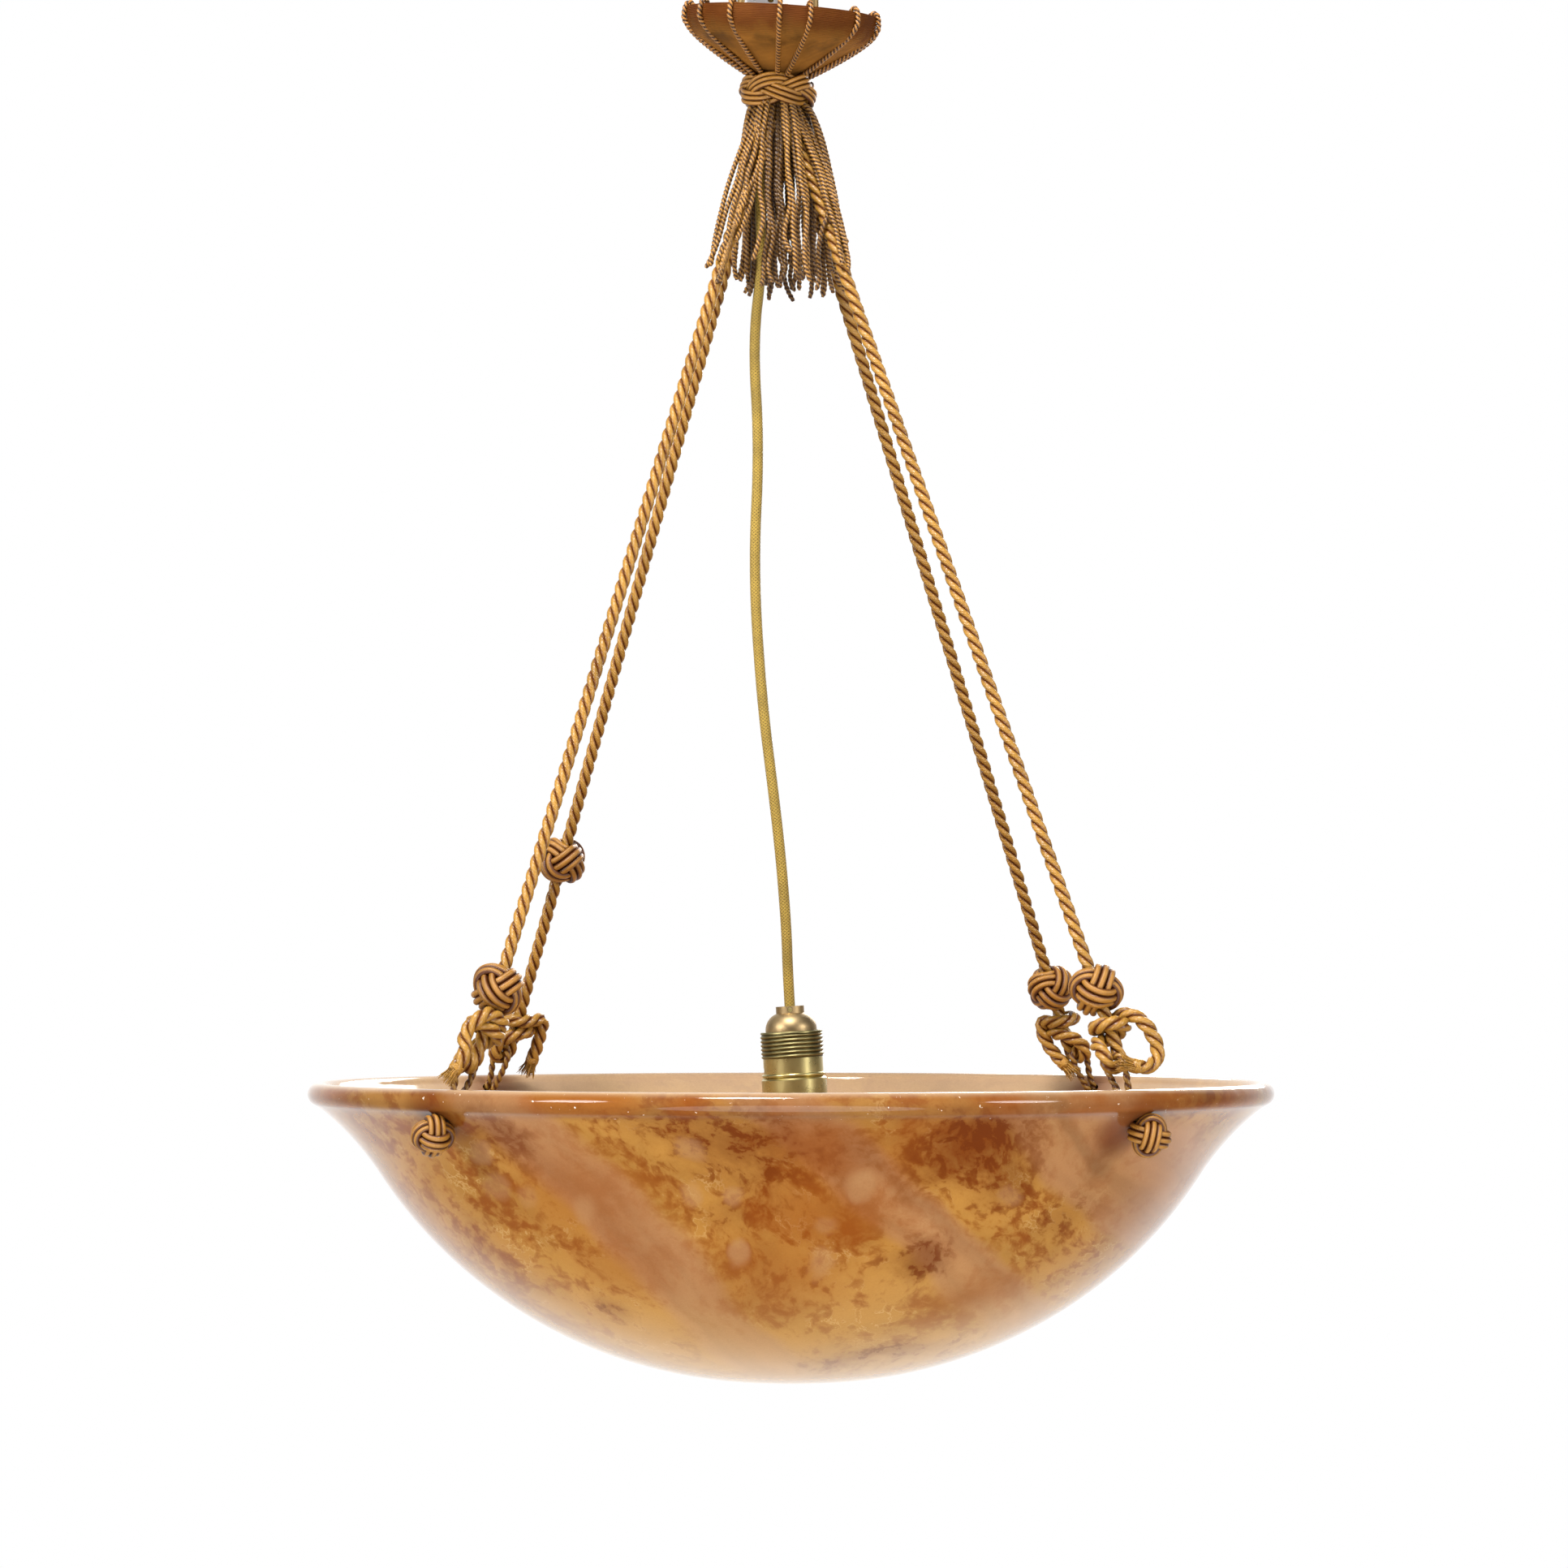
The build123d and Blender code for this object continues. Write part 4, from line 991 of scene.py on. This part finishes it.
class PENDANT_OT_tassel(bpy.types.Operator):
    """Hang the twisted strands of the tassel round the ropes and the flex"""

    bl_idname = "pendant.tassel"
    bl_label = "Tassel"

    def execute(self, context):
        # Strand: radius grows with a power of the drop, with two slow waves and a curl at the end; step by step
        # down it keeps to that path, but is pushed off the ropes and the flex
        size, tint = settings(context)
        free, steps = size.tassel_strands, 250
        # Further strands keep to the outside of the two front ropes
        guides = [("front_left", angle) for angle in (192, 218, 244, 270, 296, 322)]
        guides += [("front_right", angle) for angle in (-62, -34, -8, 20, 50)]
        count = free + len(guides)
        number = np.arange(count)
        ring = np.where(number < free, number % 3, 2)
        turn = TURN * (number * GOLDEN_TURN + 0.02 * chance(count, 21))
        drop = size.tassel_length * (0.76 + 0.24 * chance(count, 22) ** 0.6)
        drop[free:] = size.tassel_length * (0.68 + 0.24 * chance(len(guides), 28))
        flare = (6 + 6 * ring + 5 * chance(count, 23)) * (1 + 0.45 * np.cos(turn + 0.4)) * MM
        loose = np.abs((turn + 0.25) % TURN - 0.12) < 0.12
        t = np.linspace(0, 1, 120)
        radius = (10.6 + 2.5 * ring)[:, None] * MM + flare[:, None] * np.maximum(t - 0.055, 0) ** 0.5
        radius = radius + (loose & (ring == 2))[:, None] * 9 * MM * np.sin(np.pi * np.minimum(1, t / 0.85)) ** 1.5
        sway = 2.2 * MM * t * np.sin(TURN * (1.2 * t + chance(count, 24)[:, None]))
        sway = sway + 1.2 * MM * t * np.sin(TURN * (2.9 * t + chance(count, 25)[:, None]))
        curl = np.maximum(t - 0.9, 0) ** 2 / 0.1 ** 2
        sway = sway + curl * (3.4 * MM * np.sin(TURN * chance(count, 27)))[:, None]
        radius = radius + curl * (2.6 * MM * np.cos(TURN * chance(count, 27)))[:, None]
        out = np.stack([np.cos(turn), np.sin(turn)], axis=-1)[:, None, :]
        side = np.stack([-np.sin(turn), np.cos(turn)], axis=-1)[:, None, :]
        natural = out * radius[..., None] + side * sway[..., None]
        height = TASSEL_TOP - drop[:, None] * t
        for strand, (corner, angle) in enumerate(guides, free):
            aside = np.array([math.cos(math.radians(angle)), math.sin(math.radians(angle))])
            wide = (6.3 + (1 + 4 * chance(1, strand)) * np.sin(np.pi * t))[:, None] * MM
            moved = sway[strand][:, None] * np.array([-aside[1], aside[0]])
            natural[strand] = self.rope_at(corner, height[strand]) + wide * aside + moved
        flex = np.array(FLEX_ROUTE) * MM
        lines = np.empty((count, len(t), 3))
        lines[..., 2] = height
        point = natural[:, 0]
        for place in range(len(t)):
            if place:
                point = point + natural[:, place] - natural[:, place - 1] + 0.05 * (natural[:, place - 1] - point)
            level = height[:, place]
            for corner in CORNERS:
                over = np.array([-0.1, -1.0]) if corner == "front_left" else np.zeros(2)
                point = self.off(point, self.rope_at(corner, level), ROPE_CLEAR, over)
            axis = np.interp(-level, -flex[:, 2], flex[:, 0])
            point = self.off(point, np.stack([axis, 0 * axis], axis=-1), FLEX_CLEAR, np.zeros(2))
            lines[:, place, :2] = point
        padded = np.pad(lines, ((0, 0), (2, 2), (0, 0)), mode="edge")
        lines[:, 1:-1] = sum(padded[:, shift:shift + len(t)] for shift in range(5))[:, 1:-1] / 5
        lines = np.stack([even(line, run[-1] / (steps - 1))[:steps] for line, run in zip(lines, along(lines))])
        ahead = heading(lines)
        aside = unit(np.cross(ahead, [0, 1.0, 0.1]))
        other = np.cross(ahead, aside)
        thick = size.cord_diameter / 2 * (1 - 0.35 * np.maximum(np.linspace(0, 1, steps) - 0.985, 0) / 0.015)
        start = TURN * chance(count, 26)
        for part, name in enumerate(("tassel_inner", "tassel_middle", "tassel_outer")):
            chosen = ring == part
            # Painted shade and light: the inner and middle strands are painted darker than the cord colour and the
            # outer ones lighter; the dark colour given to silk is painted shade in the grooves
            painted_light_shade_tint = tone(tint.cord, (0.5, 0.75, 1.12)[part])
            finish = silk(name + "_silk", painted_light_shade_tint, srgb(54, 24, 2), (0.12, 0.34), 0.0022, 4.0)
            shape = twisted(lines[chosen], aside[chosen], other[chosen], thick, size.cord_lay, start[chosen])
            dress(put_mesh(name, *shape), "pendant", "cord_silk", finish, "tassel")
        return {"FINISHED"}

    @staticmethod
    def rope_at(corner, level):
        """Places of a rope's middle at several heights."""
        bend, up = corner_axes(corner)[2], corner_axes(corner)[6]
        return bend[:2] + np.minimum(level - BEND_Z, 0)[:, None] * up[:2] / up[2]

    @staticmethod
    def off(points, axis, least, over):
        """Points nearer to an axis than the least are pushed away from it, or over it in a given direction."""
        away = points - axis
        far = np.linalg.norm(away, axis=-1, keepdims=True)
        return np.where(far < least, axis + unit(away + over * 5 * MM) * least, points)


class PENDANT_OT_canopy(bpy.types.Operator):
    """Stretch the ribbed silk over the canopy and lay its twisted cords"""

    bl_idname = "pendant.canopy"
    bl_label = "Canopy"

    def execute(self, context):
        size, tint = settings(context)
        outside, inside = canopy_outline(0.0), canopy_outline(CLOTH)
        rim = [
            (60.5, 0.6), (60.2, 0.95), (57.9, 1.0), (57.3, 0.7),
            (57.2, -3.0), (57.95, -3.0), (58.0, 0.1), (59.7, 0.1),
        ]
        outline = np.concatenate([outside[::-1], np.array(rim) * MM, inside])
        azimuths = np.sort(np.radians(CANOPY_CORDS))

        def drawn_in(radius, angle, height):
            """Silk sinks a little half way between two cords."""
            after = np.searchsorted(azimuths, angle[0])
            low = np.concatenate([azimuths[-1:] - TURN, azimuths])[after]
            high = np.concatenate([azimuths, azimuths[:1] + TURN])[after]
            sink = np.sin(np.pi * (angle[0] - low) / (high - low))
            span = (high - low) / 0.45
            return radius * (1 - 0.010 * sink * span * (radius > 20 * MM)), height

        cover = lathe("canopy_silk_cover", outline, 280, canopy_place, radius=drawn_in)
        dress(cover, "pendant", "canopy_silk", ribbed_silk(tint.canopy, along(outside)[-1]), "canopy_cover")
        # Each cord starts inside the rim, bends over it and follows the cone a little above the silk
        wide = np.array([CANOPY_RADIUS + CORD_LIFT, CORD_FOOT])
        fall = (CANOPY_RADIUS - wide) * math.tan(CANOPY_SLOPE) + CORD_LIFT / math.cos(CANOPY_SLOPE)
        over = np.array([(55.5, -3.0), (55.5, 3.0), (62.1, 3.0)]) * MM
        flat = np.concatenate([over, np.stack([wide, -CANOPY_CORNER - fall], axis=-1)])
        lines = []
        for azimuth in np.radians(CANOPY_CORDS):
            route = np.stack([flat[:, 0] * math.cos(azimuth), flat[:, 0] * math.sin(azimuth), flat[:, 1]], axis=-1)
            lines.append(route_line(canopy_place(route), 0.4 * MM))
        least = min(len(line) for line in lines)
        lines = np.stack([line[:least] for line in lines])
        ahead = heading(lines)
        azimuth = np.radians(CANOPY_CORDS)[:, None]
        aside = unit(np.stack([-np.sin(azimuth), np.cos(azimuth), 0 * azimuth], axis=-1) + 0 * lines)
        other = np.cross(ahead, aside)
        start = TURN * chance(len(CANOPY_CORDS), 31)
        shape = twisted(lines, aside, other, size.cord_diameter / 2, size.cord_lay, start)
        # The dark colour given to silk is painted shade in the grooves between the plies
        finish = silk("canopy_cord_silk", srgb(172, 116, 50), srgb(52, 22, 2), (0.14, 0.36), 0.0022, 4.0)
        cords = put_mesh("canopy_twisted_cords", *shape)
        dress(cords, "pendant", "cord_silk", finish, "canopy_cords")
        return {"FINISHED"}


class PENDANT_OT_bowl(bpy.types.Operator):
    """Turn the alabaster bowl and drill its four sling holes"""

    bl_idname = "pendant.bowl"
    bl_label = "Alabaster bowl"

    def execute(self, context):
        size, tint = settings(context)
        line, heads = bowl_outline(size.bowl_radius, size.bowl_depth)
        inner = line + np.stack([-heads[:, 1], heads[:, 0]], axis=-1) * size.bowl_wall
        inner[0, 0] = POLE
        # The lip is a round through the low end of the flare, the widest point and the inner end
        start, top, end = line[-1], np.array([size.bowl_radius, -LIP_ROUND]), inner[-1]
        sides = np.stack([top - start, end - start])
        centre = start + np.linalg.solve(sides, np.sum(sides ** 2, axis=1) / 2)
        radius = np.linalg.norm(start - centre)
        first = math.atan2(*(start - centre)[::-1])
        last = math.atan2(*(end - centre)[::-1])
        angle = np.linspace(first, last, 26)[1:-1]
        lip = centre + radius * np.stack([np.cos(angle), np.sin(angle)], axis=-1)
        outline = np.concatenate([line, lip, inner[::-1]])
        # A cubic eases the flare into the lip's underside
        low, high = len(line) - 6, len(line) + 1
        head = unit(np.gradient(outline, axis=0))
        reach = np.linalg.norm(outline[high] - outline[low]) / 3
        t = np.linspace(0, 1, high - low + 1)[:, None]
        ends = outline[low], outline[high]
        knee = [ends[0], ends[0] + reach * head[low], ends[1] - reach * head[high], ends[1]]
        knee = [count * point for count, point in zip((1, 3, 3, 1), knee)]
        outline[low:high + 1] = sum(t ** n * (1 - t) ** (3 - n) * point for n, point in enumerate(knee))
        run = along(outline)
        chips = chance((46, 4), 41)

        def worn(wide, around, tall):
            """Hand-worked skin: slow unevenness everywhere and small chips along the lip's edge."""
            wave = 0.35 * MM * np.sin(3 * around + 40 * tall) + 0.25 * MM * np.sin(7 * around - 25 * tall + 1.3)
            wave = wave * np.minimum(1, wide / (80 * MM))
            edge = np.exp(-((tall + 2.5 * MM) / (2.2 * MM)) ** 2) * (wide > 285 * MM)
            apart = np.abs((around[..., None] - TURN * chips[:, 0] + np.pi) % TURN - np.pi)
            dent = np.exp(-(apart / (0.003 + 0.006 * chips[:, 1])) ** 2) * (0.3 + 0.7 * chips[:, 2])
            return wide + wave - 0.7 * MM * edge * dent.max(axis=-1), tall

        def put(points):
            """Places of the bowl."""
            return points + BOWL_CENTRE

        bowl = lathe("alabaster_bowl", outline, 360, put, closed=False, radius=worn, crease=None)
        cutters = []
        for corner in CORNERS:
            hole, through = corner_axes(corner)[:2]
            reach = np.linspace(-26, 26, 3)[:, None] * MM
            axis = hole + through * reach
            side = unit(np.cross(through, [0, 0, 1.0]))
            cutter = put_mesh("drill", *tubes(axis, np.broadcast_to(side, axis.shape), HOLE_RADIUS, 32))
            drill = bowl.modifiers.new("drill", "BOOLEAN")
            drill.object = cutter
            drill.solver = "EXACT"
            cutters.append(cutter)
        shaped = bpy.data.meshes.new_from_object(bowl.evaluated_get(context.evaluated_depsgraph_get()))
        bowl.modifiers.clear()
        bowl.data = shaped
        for cutter in cutters:
            bpy.data.objects.remove(cutter)
        shaped.polygons.foreach_set("use_smooth", np.ones(len(shaped.polygons), bool))
        shaped.set_sharp_from_angle(angle=math.radians(40))
        shaped.materials.clear()
        dress(bowl, "pendant", "alabaster", alabaster(tint, run[[len(line), -len(inner)]]), "bowl")
        return {"FINISHED"}


class PENDANT_OT_flex(bpy.types.Operator):
    """Run the cloth-covered flex down to the lampholder and cut the lampholder's outside thread"""

    bl_idname = "pendant.flex"
    bl_label = "Flex and lampholder"

    def execute(self, context):
        # Thread: distance from the axis = root + depth (1 + cos p) / 2 to a power, with p one turn for each pitch
        # and each turn round
        size, tint = settings(context)
        root, crest, pitch, top, foot = 18.7 * MM, 19.6 * MM, 2.5 * MM, -17.0 * MM, -32.0 * MM
        brass = old_brass("sleeve_brass", tone(tint.brass, 0.5), 0.3, 0.35)

        def thread(wide, around, tall):
            """Round-crested thread that fades out at both ends."""
            fade = np.clip((top - tall) / pitch, 0, 1) * np.clip((tall - foot) / pitch, 0, 1)
            phase = TURN * tall / pitch - around
            high = (1 + np.cos(phase)) / 2 * np.minimum(1, 3 * fade)
            return np.where(wide == root, root + (crest - root) * high ** 0.8, wide), tall

        def sunk(wide, tall):
            """Share of a thread root's depth."""
            turned = (tall < top) & (tall > foot) & (wide >= root)
            return {"recess": np.where(turned, 1 - (wide - root) / (crest - root), 0) ** 2}

        height = np.linspace(foot, top, 76)
        head = [
            (18.9, -16.95), (19.3, -16.75), (19.3, -15.95), (19.0, -15.6), (17.0, -15.6), (16.2, -15.9),
            (16.2, -17.0), (17.9, -17.2),
        ]
        side = np.stack([np.full_like(height, root), height], axis=-1)
        outline = np.concatenate([[(17.9 * MM, foot)], side, np.array(head) * MM])
        sleeve = lathe("lampholder_thread", outline, 128, leaning, radius=thread, marks=sunk, crease=50)
        dress(sleeve, "pendant", "holder_brass", brass, "holder_sleeve")
        line = route_line(np.array(FLEX_ROUTE) * MM, 1.6 * MM)
        aside, _ = carried(line)
        flex = put_mesh("flex_cover", *tubes(line, aside, size.flex_diameter / 2, 24))
        dress(flex, "pendant", "flex_cloth", braided_cloth(tint.flex), "flex")
        return {"FINISHED"}


class PENDANT_OT_fittings(bpy.types.Operator):
    """Finish the link, the canopy's cup, the terminal block and the lampholder's own parts"""

    bl_idname = "pendant.fittings"
    bl_label = "Fittings"

    def execute(self, context):
        tint = context.scene.pendant_colours
        bright = old_brass("terminal_brass", tone(tint.brass, 1.05), 0.25, 0.2)
        finishes = {
            "hanging_link": plain("link_iron", srgb(140, 114, 72), 0.5, 120, 0.6),
            "canopy_cup": plain("cup_board", srgb(112, 78, 46), 0.85, 90),
            "terminal_block": plain("block_plastic", srgb(214, 214, 216), 0.4),
            "cord_bush": plain("bush_plastic", srgb(46, 34, 24), 0.5),
            "flex_cores": plain("core_plastic", srgb(104, 62, 34), 0.5),
            "insulator": plain("porcelain", srgb(236, 232, 222), 0.2),
            "holder_cap": old_brass("cap_bronze", tint.bronze, 0.34, 0.3),
            "holder_mantle": old_brass("mantle_brass", tint.brass, 0.16, 0.15),
        }
        for name in ("block_screws", "grip_screw", "screw_shell", "centre_contact", "terminal_screws"):
            finishes[name] = bright
        for name, finish in finishes.items():
            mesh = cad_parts[name].data
            mesh.materials.clear()
            mesh.materials.append(finish)
        return {"FINISHED"}


# Lamps: place, target, width and power
LAMPS = {
    "left_lamp": ((-2.2, -1.7, 0.3), (0, 0, -0.5), 0.9, 60.0),
    "right_lamp": ((2.3, -1.7, 0.2), (0, 0, -0.5), 0.9, 46.0),
    "top_lamp": ((-0.3, -1.1, 1.5), (0, 0, -0.5), 0.7, 72.0),
    "low_lamp": ((0.0, -1.2, -1.42), (0, 0, -0.8), 1.4, 22.0),
    "back_lamp": ((0.7, 2.4, 0.3), (0, 0, -0.5), 1.2, 36.0),
}
FLOOR_RADIUS = 1.6
FLOOR_Z = -1.45
FLOOR_SIDES = 96
SENSOR_MM = 36
LENS_MM = 121.5
CAMERA_PLACE = (0.0038, -3.300, -0.6154)
CAMERA_TARGET = (0.0038, 0, -0.5005)


class PENDANT_OT_stage(bpy.types.Operator):
    """Set up the floor, the soft lamps, the white surround and the camera"""

    bl_idname = "pendant.stage"
    bl_label = "Stage"

    def execute(self, context):
        scene = context.scene
        scene.view_settings.view_transform = "Standard"
        angle = TURN * np.arange(FLOOR_SIDES) / FLOOR_SIDES
        ring = np.stack([np.cos(angle), np.sin(angle), np.full(FLOOR_SIDES, FLOOR_Z / FLOOR_RADIUS)], axis=-1)
        floor = put_mesh("floor", ring * FLOOR_RADIUS, [np.arange(FLOOR_SIDES)[None, :]])
        floor.data.materials.append(plain("floor_white", srgb(236, 236, 236), 0.9, 2.0))
        floor.visible_glossy = False
        for name, (place, target, wide, power) in LAMPS.items():
            lamp = bpy.data.lights.new(name, "AREA")
            lamp.shape = "DISK"
            lamp.size = wide
            lamp.energy = power
            self.aim(scene, bpy.data.objects.new(name, lamp), place, target)
        scene.world = self.surround()
        camera = bpy.data.cameras.new("camera")
        camera.sensor_width = SENSOR_MM
        camera.lens = LENS_MM
        scene.camera = self.aim(scene, bpy.data.objects.new("camera", camera), CAMERA_PLACE, CAMERA_TARGET)
        return {"FINISHED"}

    @staticmethod
    def surround():
        """White for the camera, faint as light, and in reflections brighter behind the part than before it."""
        world = bpy.data.worlds.new("surround")
        world.use_nodes = True
        tree = world.node_tree
        tree.nodes.clear()
        path = add_node(tree, "LightPath", {}).outputs
        sight = add_node(tree, "TexCoord", {}).outputs["Generated"]
        depth = add_node(tree, "SeparateXYZ", {0: sight}).outputs["Y"]
        rise = {"Value": depth, "From Min": 0.5, "From Max": 0.8, "To Min": 0.2, "To Max": 1.15}
        behind = add_node(tree, "MapRange", rise).outputs[0]
        rays = {0: path["Is Glossy Ray"], 1: path["Is Transmission Ray"]}
        seen = add_node(tree, "Math", rays, operation="MAXIMUM").outputs[0]
        level = add_node(tree, "Mix", {"Factor": seen, "A": 0.11, "B": behind}).outputs["Result"]
        shown = {"Factor": path["Is Camera Ray"], "A": level, "B": 1.0}
        strength = add_node(tree, "Mix", shown).outputs["Result"]
        light = add_node(tree, "Background", {"Color": (1, 1, 1, 1), "Strength": strength}).outputs[0]
        add_node(tree, "OutputWorld", {0: light})
        return world

    @staticmethod
    def aim(scene, thing, place, target):
        """Put a lamp or camera at a place and turn it towards a target."""
        scene.collection.objects.link(thing)
        thing.location = place
        thing.rotation_euler = (Vector(target) - Vector(place)).to_track_quat("-Z", "Y").to_euler()
        return thing


OPERATORS = (
    PENDANT_OT_bowl, PENDANT_OT_ropes, PENDANT_OT_slings, PENDANT_OT_knots, PENDANT_OT_collar, PENDANT_OT_tassel,
    PENDANT_OT_canopy, PENDANT_OT_flex, PENDANT_OT_fittings, PENDANT_OT_stage,
)


class PENDANT_PT_panel(bpy.types.Panel):
    """Sizes, colours and steps of the pendant"""

    bl_idname = "PENDANT_PT_panel"
    bl_label = "Pendant"
    bl_space_type = "VIEW_3D"
    bl_region_type = "UI"
    bl_category = "Pendant"

    def draw(self, context):
        for group in (context.scene.pendant_sizes, context.scene.pendant_colours):
            box = self.layout.box()
            for name in group.__annotations__:
                box.prop(group, name)
        for operator in OPERATORS:
            self.layout.operator(operator.bl_idname)


CLASSES = (PendantSizes, PendantColours, *OPERATORS, PENDANT_PT_panel)


def register():
    for item in CLASSES:
        bpy.utils.register_class(item)
    bpy.types.Scene.pendant_sizes = bpy.props.PointerProperty(type=PendantSizes)
    bpy.types.Scene.pendant_colours = bpy.props.PointerProperty(type=PendantColours)


def unregister():
    del bpy.types.Scene.pendant_colours
    del bpy.types.Scene.pendant_sizes
    for item in reversed(CLASSES):
        bpy.utils.unregister_class(item)


def main():
    register()
    for operator in OPERATORS:
        group, name = operator.bl_idname.split(".")
        getattr(getattr(bpy.ops, group), name)()


if __name__ == "__main__":
    main()
